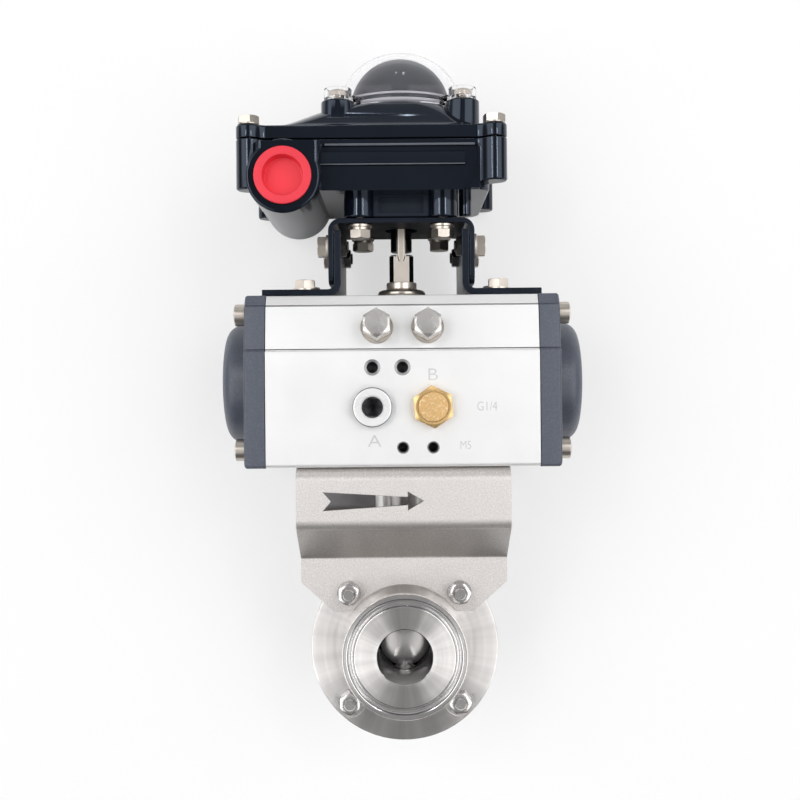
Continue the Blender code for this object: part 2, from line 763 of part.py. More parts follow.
disc = make(
    "disc_and_stem",
    moved(turned(lens_profile(), MIDDLE_STEPS), rotation=TO_FRONT),
    "polished",
    parent=stem_axis,
)
square_low = COUPLING_LOW - GAP
join(
    disc,
    stacked(
        [
            (STEM_R, 0, -LOWER_STEM_LENGTH),
            (STEM_R, 0, -SEAT_R),
            (HUB_R, 0, -SEAT_R + GAP),
            (HUB_R, 0, -disc_r * math.cos(math.asin(HUB_R / disc_r))),
            (STEM_R, 0, -disc_r * math.cos(math.asin(HUB_R / disc_r)) + HUB_R - STEM_R),
            (STEM_R, 0, disc_r * math.cos(math.asin(HUB_R / disc_r)) - HUB_R + STEM_R),
            (HUB_R, 0, disc_r * math.cos(math.asin(HUB_R / disc_r))),
            (HUB_R, 0, SEAT_R - GAP),
            (STEM_TOP_R, 0, SEAT_R),
            (STEM_TOP_R, 0, square_low),
            (STEM_SQUARE / 2, 4, square_low),
            (STEM_SQUARE / 2, 4, square_low + STEM_SQUARE_HIGH),
        ],
        SMALL_STEPS,
    ),
    "stem",
)

# Coupling: socket for the stem below, square for the pinion above
coupling = make(
    "drive_coupling",
    stacked(
        [
            (STEM_SQUARE / 2 + GAP, 4, COUPLING_LOW + STEM_SQUARE_HIGH + 2 * GAP),
            (STEM_SQUARE / 2 + GAP, 4, COUPLING_LOW),
            (COUPLING_R, 0, COUPLING_LOW),
            (COUPLING_R, 0, COUPLING_TOP),
            (DRIVE_SQUARE / 2, 4, COUPLING_TOP),
            (DRIVE_SQUARE / 2, 4, ACT_LOW + DRIVE_SQUARE_HIGH),
        ],
        SMALL_STEPS,
    ),
    "turned",
    parent=stem_axis,
)


# Flange screws with washers, head behind and nut in front
def flange_bolt(seat_out):
    """Along +Z from the head behind the flange to the nut and screw end in front."""
    washer_top = seat_out + GAP + BOLT_WASHER_THICK
    nut_top = washer_top + BOLT_NUT_HIGH
    return stacked(
        [
            (BOLT_HEX_AF / 2, 6, -washer_top - BOLT_HEAD_HIGH),
            (BOLT_HEX_AF / 2, 6, -washer_top),
            (BOLT_WASHER_R, 0, -washer_top),
            (BOLT_WASHER_R, 0, -seat_out - GAP),
            (BOLT_R, 0, -seat_out - GAP),
            (BOLT_R, 0, seat_out + GAP),
            (BOLT_WASHER_R, 0, seat_out + GAP),
            (BOLT_WASHER_R, 0, washer_top),
            (BOLT_HEX_AF / 2, 6, washer_top),
            (BOLT_HEX_AF / 2, 6, nut_top),
            (BOLT_R, 0, nut_top),
            (BOLT_R, 0, nut_top + BOLT_END_OUT),
        ],
        SCREW_STEPS,
    )


bracket_inner_y = FLANGE_HALF + GAP
bracket_outer_y = bracket_inner_y + SHEET
upper_bolt = make(
    "flange_bolt_upper_left",
    flange_bolt(bracket_outer_y),
    "screw",
    (-BOLT_SPACING, 0, BOLT_SPACING),
    (QUARTER, 0, 0),
)
share(
    "flange_bolt_upper_right",
    upper_bolt,
    (BOLT_SPACING, 0, BOLT_SPACING),
    (QUARTER, 0, 0),
)
lower_bolt = make(
    "flange_bolt_lower_left",
    flange_bolt(FLANGE_HALF - SPOT_FACE_DEEP),
    "screw",
    (-BOLT_SPACING, 0, -BOLT_SPACING),
    (QUARTER, 0, 0),
)
share(
    "flange_bolt_lower_right",
    lower_bolt,
    (BOLT_SPACING, 0, -BOLT_SPACING),
    (QUARTER, 0, 0),
)


# Bent sheets
def rounded_path(corners, radius, arc_points=5):
    """Open path whose inner corners are filleted."""
    path = [corners[0]]
    for before, corner, after in zip(corners, corners[1:], corners[2:]):
        ax, az = before[0] - corner[0], before[1] - corner[1]
        bx, bz = after[0] - corner[0], after[1] - corner[1]
        a_long, b_long = math.hypot(ax, az), math.hypot(bx, bz)
        ax, az, bx, bz = ax / a_long, az / a_long, bx / b_long, bz / b_long
        half = math.acos(max(-1.0, min(1.0, ax * bx + az * bz))) / 2
        back = radius / math.tan(half)
        middle_x, middle_z = ax + bx, az + bz
        middle = math.hypot(middle_x, middle_z)
        reach = radius / math.sin(half)
        centre = (corner[0] + middle_x / middle * reach, corner[1] + middle_z / middle * reach)
        start = math.atan2(corner[1] + az * back - centre[1], corner[0] + ax * back - centre[0])
        end = math.atan2(corner[1] + bz * back - centre[1], corner[0] + bx * back - centre[0])
        sweep = (end - start + math.pi) % math.tau - math.pi
        for index in range(arc_points):
            angle = start + sweep * index / (arc_points - 1)
            path.append(
                (centre[0] + radius * math.cos(angle), centre[1] + radius * math.sin(angle))
            )
    path.append(corners[-1])
    return path


def thickened(path, thickness):
    """Outline of a sheet whose middle follows the path."""
    left, right = [], []
    for index, (x, z) in enumerate(path):
        before = path[max(index - 1, 0)]
        after = path[min(index + 1, len(path) - 1)]
        ways = []
        for start, end in ((before, (x, z)), ((x, z), after)):
            long = math.hypot(end[0] - start[0], end[1] - start[1])
            if long > 0:
                ways.append(((end[0] - start[0]) / long, (end[1] - start[1]) / long))
        way_x = sum(way[0] for way in ways)
        way_z = sum(way[1] for way in ways)
        long = math.hypot(way_x, way_z)
        normal = (-way_z / long, way_x / long)
        across = normal[0] * -ways[0][1] + normal[1] * ways[0][0]
        reach = thickness / 2 / across
        left.append((x + normal[0] * reach, z + normal[1] * reach))
        right.append((x - normal[0] * reach, z - normal[1] * reach))
    return left + right[::-1]


leg_mid_y = BRACKET_LEG_Y - SHEET / 2
plate_mid_y = bracket_inner_y + SHEET / 2
half_path = [
    (plate_mid_y, BRACKET_PLATE_LOW),
    (plate_mid_y, BRACKET_PLATE_TOP),
    (leg_mid_y, BRACKET_LEG_LOW),
    (leg_mid_y, BRACKET_TOP - SHEET / 2),
]
bracket_path = half_path + [(-y, z) for y, z in reversed(half_path)]
bracket_outline = thickened(rounded_path(bracket_path, BRACKET_BEND_R), SHEET)
half_wide = BRACKET_WIDTH / 2
bracket = make(
    "valve_bracket",
    moved(prism(bracket_outline, -half_wide, half_wide), rotation=SECTION_TO_X),
    "blasted",
)
reach_y = BRACKET_LEG_Y + OVERCUT
corner_low = BRACKET_PLATE_LOW - OVERCUT
corner_out = half_wide + OVERCUT
extra_x = OVERCUT * BRACKET_CHAMFER_Z / BRACKET_CHAMFER_X
extra_z = OVERCUT * BRACKET_CHAMFER_X / BRACKET_CHAMFER_Z
corners = []
for sign in (-1, 1):
    corner = [
        (sign * corner_out, corner_low),
        (sign * (half_wide - BRACKET_CHAMFER_X - extra_z), corner_low),
        (sign * corner_out, BRACKET_PLATE_LOW + BRACKET_CHAMFER_Z + extra_x),
    ]
    corners.append(moved(prism(corner, -reach_y, reach_y), rotation=TO_FRONT))
cut(bracket, together(corners), "bracket_corners")
arc = moved(cylinder(BRACKET_ARC_R, -reach_y, reach_y, steps=STEPS), rotation=TO_FRONT)
cut(bracket, arc, "bracket_arc")
bolt_holes = [
    cylinder(BOLT_R + GAP, -reach_y, reach_y, (x, BOLT_SPACING), HOLE_STEPS)
    for x in (-BOLT_SPACING, BOLT_SPACING)
]
cut(bracket, moved(together(bolt_holes), rotation=TO_FRONT), "bracket_bolt_holes")
shaft_hole = cylinder(
    BRACKET_SHAFT_HOLE_R, BRACKET_TOP - SHEET - OVERCUT, BRACKET_TOP + OVERCUT
)
cut(bracket, shaft_hole, "bracket_shaft_hole")
arrow = [
    (ARROW_TAIL_X, ARROW_Z - ARROW_TAIL_HALF),
    (ARROW_NECK_X, ARROW_Z - ARROW_NECK_HALF),
    (ARROW_NECK_X, ARROW_Z - ARROW_HEAD_HALF),
    (ARROW_TIP_X, ARROW_Z),
    (ARROW_NECK_X, ARROW_Z + ARROW_HEAD_HALF),
    (ARROW_NECK_X, ARROW_Z + ARROW_NECK_HALF),
    (ARROW_TAIL_X, ARROW_Z + ARROW_TAIL_HALF),
    (ARROW_TAIL_X + ARROW_NOTCH, ARROW_Z),
]
arrow_cut = moved(prism(arrow, BRACKET_LEG_Y - SHEET - OVERCUT, reach_y), rotation=TO_FRONT)
cut(bracket, arrow_cut, "bracket_arrow")
bracket_screw_places = [
    (x, y)
    for x in (-BRACKET_SCREW_SPACING, BRACKET_SCREW_SPACING)
    for y in (-BRACKET_SCREW_SPACING, BRACKET_SCREW_SPACING)
]
screw_low = BRACKET_TOP - SHEET - BRACKET_SCREW_HEAD_HIGH
bracket_screws = [
    moved(
        stacked(
            [
                (BRACKET_SCREW_HEAD_R, 0, screw_low),
                (BRACKET_SCREW_HEAD_R, 0, BRACKET_TOP - SHEET / 2),
                (BRACKET_SCREW_R, 0, BRACKET_TOP - SHEET / 2),
                (BRACKET_SCREW_R, 0, ACT_LOW + BRACKET_SCREW_IN),
            ]
        ),
        (x, y, 0),
    )
    for x, y in bracket_screw_places
]
join(bracket, together(bracket_screws), "bracket_screws")


# Actuator body
def actuator_section(margin=0.0):
    """Section as (y, z): port pad and sloped shoulder in front, plain back."""
    pad = ACT_PAD_Y + margin
    step = pad - ACT_PAD_STEP
    back = ACT_BACK_Y + margin
    low = ACT_LOW - margin
    top = ACT_TOP + margin
    slope = step - ACT_SLOPE_IN
    back_slope = back - ACT_SLOPE_IN / 2
    return [
        (-pad, low + ACT_EDGE),
        (-pad + ACT_EDGE, low),
        (back - ACT_EDGE, low),
        (back, low + ACT_EDGE),
        (back, ACT_PAD_TOP),
        (back_slope, ACT_SLOPE_TOP),
        (back_slope - ACT_CHAMFER, top),
        (-slope + ACT_CHAMFER, top),
        (-slope, ACT_SLOPE_TOP),
        (-step, ACT_PAD_TOP),
        (-pad, ACT_PAD_TOP),
    ]


body = make(
    "actuator_body",
    moved(prism(actuator_section(), -ACT_HALF, ACT_HALF), rotation=SECTION_TO_X),
    "aluminium",
)
main_bore = moved(
    cylinder(ACT_BORE_R, -ACT_HALF - OVERCUT, ACT_HALF + OVERCUT, steps=STEPS),
    (0, 0, ACT_AXIS_Z),
    TO_RIGHT,
)
cut(body, main_bore, "actuator_bore")
bearing_low_r = JOURNAL_LOW_R + BUSH_RUNNING_GAP + BEARING_WALL
bearing_top_r = JOURNAL_TOP_R + BUSH_RUNNING_GAP + BEARING_WALL
pinion_holes = [
    cylinder(bearing_low_r + GAP, ACT_LOW - OVERCUT, ACT_AXIS_Z),
    cylinder(bearing_top_r + GAP, ACT_AXIS_Z, ACT_TOP + OVERCUT),
]
cut(body, together(pinion_holes), "actuator_pinion_holes")


def body_hole(radius, depth, x, z, mouth=None):
    """Hole from the pad face inwards, with a countersunk mouth if one is given."""
    levels = [(radius, 0, ACT_PAD_Y - depth)]
    if mouth:
        levels += [(radius, 0, ACT_PAD_Y - mouth + radius), (mouth, 0, ACT_PAD_Y)]
        levels += [(mouth, 0, ACT_PAD_Y + OVERCUT)]
    else:
        levels += [(radius, 0, ACT_PAD_Y + OVERCUT)]
    return moved(stacked(levels, HOLE_STEPS), (x, 0, z), TO_FRONT)


port_x = PORT_SPACING / 2
ports = [
    moved(cylinder(PORT_R, 0, ACT_PAD_Y + OVERCUT), (x, 0, PORT_Z), TO_FRONT)
    for x in (-port_x, port_x)
]
cut(body, together(ports), "actuator_ports")
pilot_places = [
    (-port_x, PILOT_UPPER_Z),
    (0, PILOT_UPPER_Z),
    (0, PILOT_LOWER_Z),
    (port_x, PILOT_LOWER_Z),
]
pilots = [body_hole(PILOT_R, PILOT_DEEP, x, z, PILOT_MOUTH_R) for x, z in pilot_places]
cut(body, together(pilots), "actuator_pilot_holes")
stop_tilt = math.atan2(ACT_SLOPE_IN, ACT_SLOPE_TOP - ACT_PAD_TOP)
stop_share = (STOP_Z - ACT_PAD_TOP) / (ACT_SLOPE_TOP - ACT_PAD_TOP)
stop_y = -(ACT_PAD_Y - ACT_PAD_STEP - ACT_SLOPE_IN * stop_share)
stop_turn = turn(90 - math.degrees(stop_tilt), "X")
stop_holes = [
    moved(cylinder(STOP_R + GAP, -STOP_IN - GAP, OVERCUT), (x, stop_y, STOP_Z), stop_turn)
    for x in (-STOP_X, STOP_X)
]
cut(body, together(stop_holes), "actuator_stop_holes")
cap_screw_spots = [
    (y, z) for y in (-CAP_SCREW_Y, CAP_SCREW_Y) for z in (CAP_SCREW_LOW_Z, CAP_SCREW_HIGH_Z)
]
cap_screw_hole_r = CAP_SCREW_R + M5_HOLE_PLAY
cap_screw_deep = CAP_SCREW_IN + GAP
end_holes = []
for y, z in cap_screw_spots:
    for low in (-ACT_HALF - OVERCUT, ACT_HALF - cap_screw_deep):
        hole = cylinder(cap_screw_hole_r, low, low + cap_screw_deep + OVERCUT, steps=HOLE_STEPS)
        end_holes.append(moved(hole, (0, y, z), TO_RIGHT))
cut(body, together(end_holes), "actuator_end_holes")
foot_bolt_places = [
    (x, y) for x in (-FOOT_BOLT_X, FOOT_BOLT_X) for y in (-FOOT_BOLT_Y, FOOT_BOLT_Y)
]
top_holes = [
    cylinder(SHEET_PLAY_R, ACT_TOP - FOOT_BOLT_IN - GAP, ACT_TOP + OVERCUT, place, HOLE_STEPS)
    for place in foot_bolt_places
]
cut(body, together(top_holes), "actuator_top_holes")
low_holes = [
    cylinder(
        BRACKET_SCREW_R + M5_HOLE_PLAY,
        ACT_LOW - OVERCUT,
        ACT_LOW + BRACKET_SCREW_IN + GAP,
        place,
        HOLE_STEPS,
    )
    for place in bracket_screw_places
]
cut(body, together(low_holes), "actuator_low_holes")

# Bearings of the pinion
make(
    "pinion_bearing_lower",
    turned(
        [
            (running(JOURNAL_LOW_R), ACT_LOW),
            (bearing_low_r, ACT_LOW),
            (bearing_low_r, ACT_LOW + BEARING_LONG),
            (running(JOURNAL_LOW_R), ACT_LOW + BEARING_LONG),
        ],
        SMALL_STEPS,
    ),
    "plastic",
)
bearing_flange_low = ACT_TOP + GAP
bearing_flange_top = bearing_flange_low + BEARING_FLANGE_THICK
make(
    "pinion_bearing_upper",
    turned(
        [
            (running(JOURNAL_TOP_R), ACT_TOP - BEARING_LONG),
            (bearing_top_r, ACT_TOP - BEARING_LONG),
            (bearing_top_r, bearing_flange_low),
            (bearing_top_r + BEARING_LIP, bearing_flange_low),
            (bearing_top_r + BEARING_LIP, bearing_flange_top),
            (running(JOURNAL_TOP_R), bearing_flange_top),
        ],
        SMALL_STEPS,
    ),
    "plastic",
)


# Pinion
def involute(angle):
    return math.tan(angle) - angle


def gear_outline():
    """Involute teeth, one of them pointing along +Y and one along -Y."""
    base_r = PITCH_R * math.cos(PRESSURE_ANGLE)
    tip_r = PITCH_R + ADDENDUM * MODULE
    root_r = PITCH_R - DEDENDUM * MODULE
    tooth = math.pi * MODULE / 2 - BACKLASH / 2
    half_at_pitch = tooth / 2 / PITCH_R
    flank = []
    for index in range(FLANK_POINTS):
        radius = base_r + (tip_r - base_r) * index / (FLANK_POINTS - 1)
        half = half_at_pitch + involute(PRESSURE_ANGLE) - involute(math.acos(base_r / radius))
        flank.append((radius, half))
    outline = []
    for tooth_index in range(TEETH):
        middle = QUARTER + math.tau * tooth_index / TEETH
        side = [(root_r, flank[0][1])] + flank
        for radius, half in side:
            outline.append((radius, middle - half))
        for radius, half in reversed(side):
            outline.append((radius, middle + half))
    return [(radius * math.cos(angle), radius * math.sin(angle)) for radius, angle in outline]


thrust_low = bearing_flange_top + GAP
thrust_top = thrust_low + THRUST_THICK
collar_low = thrust_top + GAP
collar_top = collar_low + COLLAR_HIGH
square_socket = DRIVE_SQUARE / 2 + GAP
pinion = make(
    "pinion",
    stacked(
        [
            (square_socket, 4, ACT_LOW + DRIVE_SQUARE_HIGH + GAP),
            (square_socket, 4, ACT_LOW + GAP),
            (JOURNAL_LOW_R, 0, ACT_LOW + GAP),
            (JOURNAL_LOW_R, 0, ACT_AXIS_Z - GEAR_HALF_WIDTH - GAP),
            (JOURNAL_TOP_R - DEDENDUM * MODULE, 0, ACT_AXIS_Z - GEAR_HALF_WIDTH - GAP),
            (JOURNAL_TOP_R - DEDENDUM * MODULE, 0, ACT_AXIS_Z + GEAR_HALF_WIDTH + GAP),
            (JOURNAL_TOP_R, 0, ACT_AXIS_Z + GEAR_HALF_WIDTH + GAP),
            (JOURNAL_TOP_R, 0, ACT_TOP - GAP),
            (COLLAR_R - BUSH_WALL / 2, 0, ACT_TOP - GAP),
            (COLLAR_R - BUSH_WALL / 2, 0, collar_low),
            (COLLAR_R, 0, collar_low),
            (COLLAR_R, 0, collar_top),
        ],
        SMALL_STEPS,
    ),
    "screw",
    parent=stem_axis,
)
join(
    pinion,
    prism(gear_outline(), ACT_AXIS_Z - GEAR_HALF_WIDTH, ACT_AXIS_Z + GEAR_HALF_WIDTH),
    "pinion_teeth",
)


def milled_head(half):
    """Square with cut corners, as milled from round stock."""
    flat = half - HEAD_CORNER
    return [
        (half, -flat),
        (half, flat),
        (flat, half),
        (-flat, half),
        (-half, flat),
        (-half, -flat),
        (-flat, -half),
        (flat, -half),
    ]


head_half = HEAD_SQUARE / 2
head = loft(
    [
        (milled_head(head_half), collar_top - COLLAR_HIGH / 2),
        (milled_head(head_half), HEAD_TOP - HEAD_TOP_CHAMFER),
        (milled_head(head_half - HEAD_TOP_CHAMFER), HEAD_TOP),
    ]
)
join(pinion, head, "pinion_head")
cut(
    pinion,
    block(
        (-HEAD_SLOT_WIDE / 2, -HEAD_SQUARE, HEAD_TOP - HEAD_SLOT_DEEP),
        (HEAD_SLOT_WIDE / 2, HEAD_SQUARE, HEAD_TOP + OVERCUT),
    ),
    "pinion_slot",
)
thrust_hole_r = COLLAR_R - BUSH_WALL / 2 + GAP
make(
    "thrust_washer",
    turned(
        [
            (thrust_hole_r, thrust_low),
            (THRUST_R, thrust_low),
            (THRUST_R, thrust_low + THRUST_THICK / 2),
            (THRUST_R - THRUST_THICK / 2, thrust_top),
            (thrust_hole_r, thrust_top),
        ],
        SMALL_STEPS,
    ),
    "screw",
    parent=stem_axis,
)

# Pistons with racks; built for the right side, turned half round for the left
PITCH = math.pi * MODULE
piston_r = ACT_BORE_R - PISTON_CLEARANCE
piston_outer_x = PISTON_INNER_X + PISTON_THICK


def rack_outline():
    """Rack in XY on the -Y side, a gap at x = 0, teeth towards +Y."""
    pitch_y = -PITCH_R
    tip = pitch_y + ADDENDUM * MODULE
    root = pitch_y - DEDENDUM * MODULE
    slope = math.tan(PRESSURE_ANGLE)
    half_tooth = (PITCH / 2 - BACKLASH / 2) / 2
    half_tip = half_tooth - ADDENDUM * MODULE * slope
    half_root = half_tooth + DEDENDUM * MODULE * slope
    outline = [(-RACK_REACH, -RACK_BACK_Y), (-RACK_REACH, root)]
    first = math.ceil((-RACK_REACH + half_root) / PITCH - 0.5)
    last = math.floor((PISTON_INNER_X / 2) / PITCH - 0.5)
    for index in range(first, last + 1):
        middle = (index + 0.5) * PITCH
        outline += [
            (middle - half_root, root),
            (middle - half_tip, tip),
            (middle + half_tip, tip),
            (middle + half_root, root),
        ]
    inside = PISTON_INNER_X + PISTON_WEB / 2
    outline += [(inside, root), (inside, -RACK_BACK_Y)]
    return outline[::-1]


def piston_head():
    groove_x = PISTON_INNER_X + PISTON_THICK / 2
    groove_r = piston_r - PISTON_GROOVE_DEEP
    return turned(
        [
            (0, PISTON_INNER_X),
            (piston_r, PISTON_INNER_X),
            (piston_r, groove_x - PISTON_GROOVE_WIDE / 2),
            (groove_r, groove_x - PISTON_GROOVE_WIDE / 2),
            (groove_r, groove_x + PISTON_GROOVE_WIDE / 2),
            (piston_r, groove_x + PISTON_GROOVE_WIDE / 2),
            (piston_r, piston_outer_x),
            (PISTON_RECESS_R, piston_outer_x),
            (PISTON_RECESS_R, PISTON_INNER_X + PISTON_WEB),
            (0, PISTON_INNER_X + PISTON_WEB),
        ],
        MIDDLE_STEPS,
    )


rack_half_width = GEAR_HALF_WIDTH - RACK_SIDE_GAP
for name, angle in (("piston_right", 0.0), ("piston_left", math.pi)):
    slide_axis = empty(name + "_axis", (0, 0, ACT_AXIS_Z))
    piston = make(
        name,
        moved(piston_head(), rotation=TO_RIGHT),
        "aluminium",
        rotation=(0, 0, angle),
        parent=slide_axis,
    )
    join(piston, prism(rack_outline(), -rack_half_width, rack_half_width), name + "_rack")

# Return springs between piston recess and cap pocket
pocket_floor_x = CAP_FACE_X + CAP_BULGE_OUT - CAP_POCKET_WALL
spring_from = PISTON_INNER_X + PISTON_WEB + GAP + SPRING_WIRE_R
spring_to = pocket_floor_x - GAP - SPRING_WIRE_R


def coil(name, sign):
    """Open coil along X with closed-looking end turns."""
    curve = bpy.data.curves.new(name, "CURVE")
    curve.dimensions = "3D"
    curve.bevel_depth = SPRING_WIRE_R
    curve.bevel_resolution = 0
    curve.use_fill_caps = True
    count = int(SPRING_TURNS * SPRING_POINTS)
    line = curve.splines.new("POLY")
    line.points.add(count)
    for index in range(count + 1):
        share_done = index / count
        angle = math.tau * SPRING_TURNS * share_done
        eased = share_done - math.sin(math.tau * share_done) / (2.4 * math.pi)
        x = sign * (spring_from + (spring_to - spring_from) * eased)
        y = SPRING_R * math.cos(angle)
        z = SPRING_R * math.sin(angle)
        line.points[index].co = (x, y, z, 1)
    piece = bpy.data.objects.new(name, curve)
    bpy.context.collection.objects.link(piece)
    piece.location = (0, 0, ACT_AXIS_Z)
    colour, roughness, metallic = COLOURS["spring"]
    curve.materials.append(material(name, colour, roughness, metallic))


coil("spring_left", -1)
coil("spring_right", 1)


# End caps
def cap_plate():
    """Plate with bevelled outer edges, drawn as (y, z) and raised along X."""
    outline = actuator_section(CAP_MARGIN)
    inner = actuator_section(CAP_MARGIN - CAP_BEVEL)
    return loft(
        [
            (outline, ACT_HALF + GAP),
            (outline, CAP_FACE_X - CAP_BEVEL),
            (inner, CAP_FACE_X),
        ]
    )


def cap_cup():
    """Spigot, pocket and rounded bulge, spun round the actuator's axis."""
    bulge_x = CAP_FACE_X + CAP_BULGE_OUT
    profile = [
        (0, pocket_floor_x),
        (CAP_POCKET_R, pocket_floor_x),
        (CAP_POCKET_R, ACT_HALF - CAP_SPIGOT),
        (ACT_BORE_R - GAP, ACT_HALF - CAP_SPIGOT),
        (ACT_BORE_R - GAP, ACT_HALF + GAP + CAP_THICK / 2),
        (CAP_BULGE_R, ACT_HALF + GAP + CAP_THICK / 2),
    ]
    centre_r = CAP_BULGE_R - CAP_BULGE_ROUND
    for index in range(CAP_ROUND_POINTS):
        angle = QUARTER * index / (CAP_ROUND_POINTS - 1)
        profile.append(
            (
                centre_r + CAP_BULGE_ROUND * math.cos(angle),
                bulge_x - CAP_BULGE_ROUND + CAP_BULGE_ROUND * math.sin(angle),
            )
        )
    profile.append((0, bulge_x))
    return turned(profile)


for name, angle in (("end_cap_right", 0.0), ("end_cap_left", math.pi)):
    sign = 1 if angle == 0.0 else -1
    plate = moved(cap_plate(), rotation=SECTION_TO_X)
    if sign < 0:
        bmesh.ops.scale(plate, vec=(-1, 1, 1), verts=plate.verts)
        bmesh.ops.reverse_faces(plate, faces=plate.faces)
    cap = make(name, plate, "slate")
    hole_r = (CAP_POCKET_R + CAP_BULGE_R) / 2
    core = cylinder(hole_r, ACT_HALF - OVERCUT, CAP_FACE_X + OVERCUT, steps=STEPS)
    way = TO_RIGHT if sign > 0 else TO_LEFT
    cut(cap, moved(core, (0, 0, ACT_AXIS_Z), way), name + "_core")
    join(cap, moved(cap_cup(), (0, 0, ACT_AXIS_Z), way), name + "_cup")
    holes = [
        moved(
            cylinder(cap_screw_hole_r, ACT_HALF - OVERCUT, CAP_FACE_X + OVERCUT, steps=HOLE_STEPS),
            (0, y, z),
            way,
        )
        for y, z in cap_screw_spots
    ]
    cut(cap, together(holes), name + "_holes")

CAP_SCREW_LEVELS = [
    (CAP_SCREW_R, 0, -CAP_THICK - 2 * GAP - CAP_SCREW_IN),
    (CAP_SCREW_R, 0, 0),
    (CAP_SCREW_HEAD_R, 0, 0),
    (CAP_SCREW_HEAD_R, 0, CAP_SCREW_HEAD_HIGH - CAP_SCREW_EDGE),
    (CAP_SCREW_HEAD_R - CAP_SCREW_EDGE, 0, CAP_SCREW_HEAD_HIGH),
]
first_screw = None
for side_name, sign in (("left", -1), ("right", 1)):
    for y, z in cap_screw_spots:
        depth_name = "front" if y < 0 else "rear"
        height_name = "upper" if z > ACT_AXIS_Z else "lower"
        name = "cap_screw_" + side_name + "_" + depth_name + "_" + height_name
        place = (sign * (CAP_FACE_X + GAP), y, z)
        tilt = (0, sign * QUARTER, 0)
        if first_screw is None:
            first_screw = make(name, stacked(CAP_SCREW_LEVELS), "screw", place, tilt)
        else:
            share(name, first_screw, place, tilt)

# Stroke stops on the sloped shoulder
for side_name, x in (("left", -STOP_X), ("right", STOP_X)):
    tilt = (QUARTER - stop_tilt, 0, 0)
    place = (x, stop_y, STOP_Z)
    washer_low = GAP
    washer_top = washer_low + STOP_WASHER_THICK
    make(
        "stop_washer_" + side_name,
        turned(
            [
                (STOP_R + GAP, washer_low),
                (STOP_WASHER_R, washer_low),
                (STOP_WASHER_R, washer_top),
                (STOP_R + GAP, washer_top),
            ],
            SMALL_STEPS,
        ),
        "screw",
        place,
        tilt,
    )
    hex_low = washer_top + GAP
    make(
        "stop_bolt_" + side_name,
        stacked(
            [
                (STOP_R, 0, -STOP_IN),
                (STOP_R, 0, hex_low),
                (STOP_HEX_AF / 2, 6, hex_low),
                (STOP_HEX_AF / 2, 6, hex_low + STOP_HEX_HIGH - ACT_EDGE),
                (STOP_HEX_AF / 2 - ACT_EDGE, 0, hex_low + STOP_HEX_HIGH),
            ]
        ),
        "screw",
        place,
        tilt,
    )

# Port fittings
shank_r = PORT_R - GAP
make(
    "port_plug_a",
    stacked(
        [
            (shank_r, 0, -PORT_SHANK_IN),
            (shank_r, 0, GAP),
            (PLUG_R, 0, GAP),
            (PLUG_R, 0, PLUG_PROUD - ACT_EDGE),
            (PLUG_R - ACT_EDGE, 0, PLUG_PROUD),
            (PLUG_HEX_AF / 2, 6, PLUG_PROUD),
            (PLUG_HEX_AF / 2, 6, PLUG_PROUD - PLUG_HEX_DEEP),
        ],
        MIDDLE_STEPS,
    ),
    "screw",
    (-port_x, -ACT_PAD_Y, PORT_Z),
    (QUARTER, 0, 0),
)
silencer_top = SILENCER_PROUD - SILENCER_DISC_HIGH
make(
    "silencer_b",
    stacked(
        [
            (SILENCER_BORE_R, 0, -PORT_SHANK_IN / 2),
            (SILENCER_BORE_R, 0, -PORT_SHANK_IN),
            (shank_r, 0, -PORT_SHANK_IN),
            (shank_r, 0, GAP),
            (SILENCER_AF / 2, 6, GAP),
            (SILENCER_AF / 2, 6, silencer_top),
            (SILENCER_DISC_R, 0, silencer_top),
            (SILENCER_DISC_R, 0, SILENCER_PROUD),
        ],
        MIDDLE_STEPS,
    ),
    "brass",
    (port_x, -ACT_PAD_Y, PORT_Z),
    (QUARTER, 0, 0),
)

# Upper bracket
u_mid_x = U_HALF_WIDTH - SHEET / 2
u_path = [
    (-u_mid_x, U_LEG_LOW),
    (-u_mid_x, U_TOP - SHEET / 2),
    (u_mid_x, U_TOP - SHEET / 2),
    (u_mid_x, U_LEG_LOW),
]
half_deep = U_DEPTH / 2
u_outline = thickened(rounded_path(u_path, BRACKET_BEND_R), SHEET)
top_bracket = make(
    "top_bracket",
    moved(prism(u_outline, -half_deep, half_deep), rotation=TO_FRONT),
    "black",
)
leg_corners = []
for sign in (-1, 1):
    corner = [
        (sign * (half_deep + OVERCUT), U_LEG_LOW - OVERCUT),
        (sign * (half_deep + OVERCUT), U_LEG_LOW + U_TAPER + OVERCUT),
        (sign * (half_deep - U_TAPER - OVERCUT), U_LEG_LOW - OVERCUT),
    ]
    leg_corners.append(
        moved(
            prism(corner, -U_HALF_WIDTH - OVERCUT, U_HALF_WIDTH + OVERCUT), rotation=SECTION_TO_X
        )
    )
cut(top_bracket, together(leg_corners), "top_bracket_corners")
box_bolt_places = [
    (x, y) for x in (-BOX_BOLT_X, BOX_BOLT_X) for y in (-BOX_BOLT_Y, BOX_BOLT_Y)
]
plate_holes = [
    cylinder(SHEET_PLAY_R, U_TOP - SHEET - OVERCUT, U_TOP + OVERCUT, place, HOLE_STEPS)
    for place in box_bolt_places
]
plate_holes.append(cylinder(U_HOLE_R, U_TOP - SHEET - OVERCUT, U_TOP + OVERCUT))
cut(top_bracket, together(plate_holes), "top_bracket_holes")
foot_leg_outer = U_HALF_WIDTH - SHEET - GAP
foot_leg_inner = foot_leg_outer - SHEET
side_bolts = []
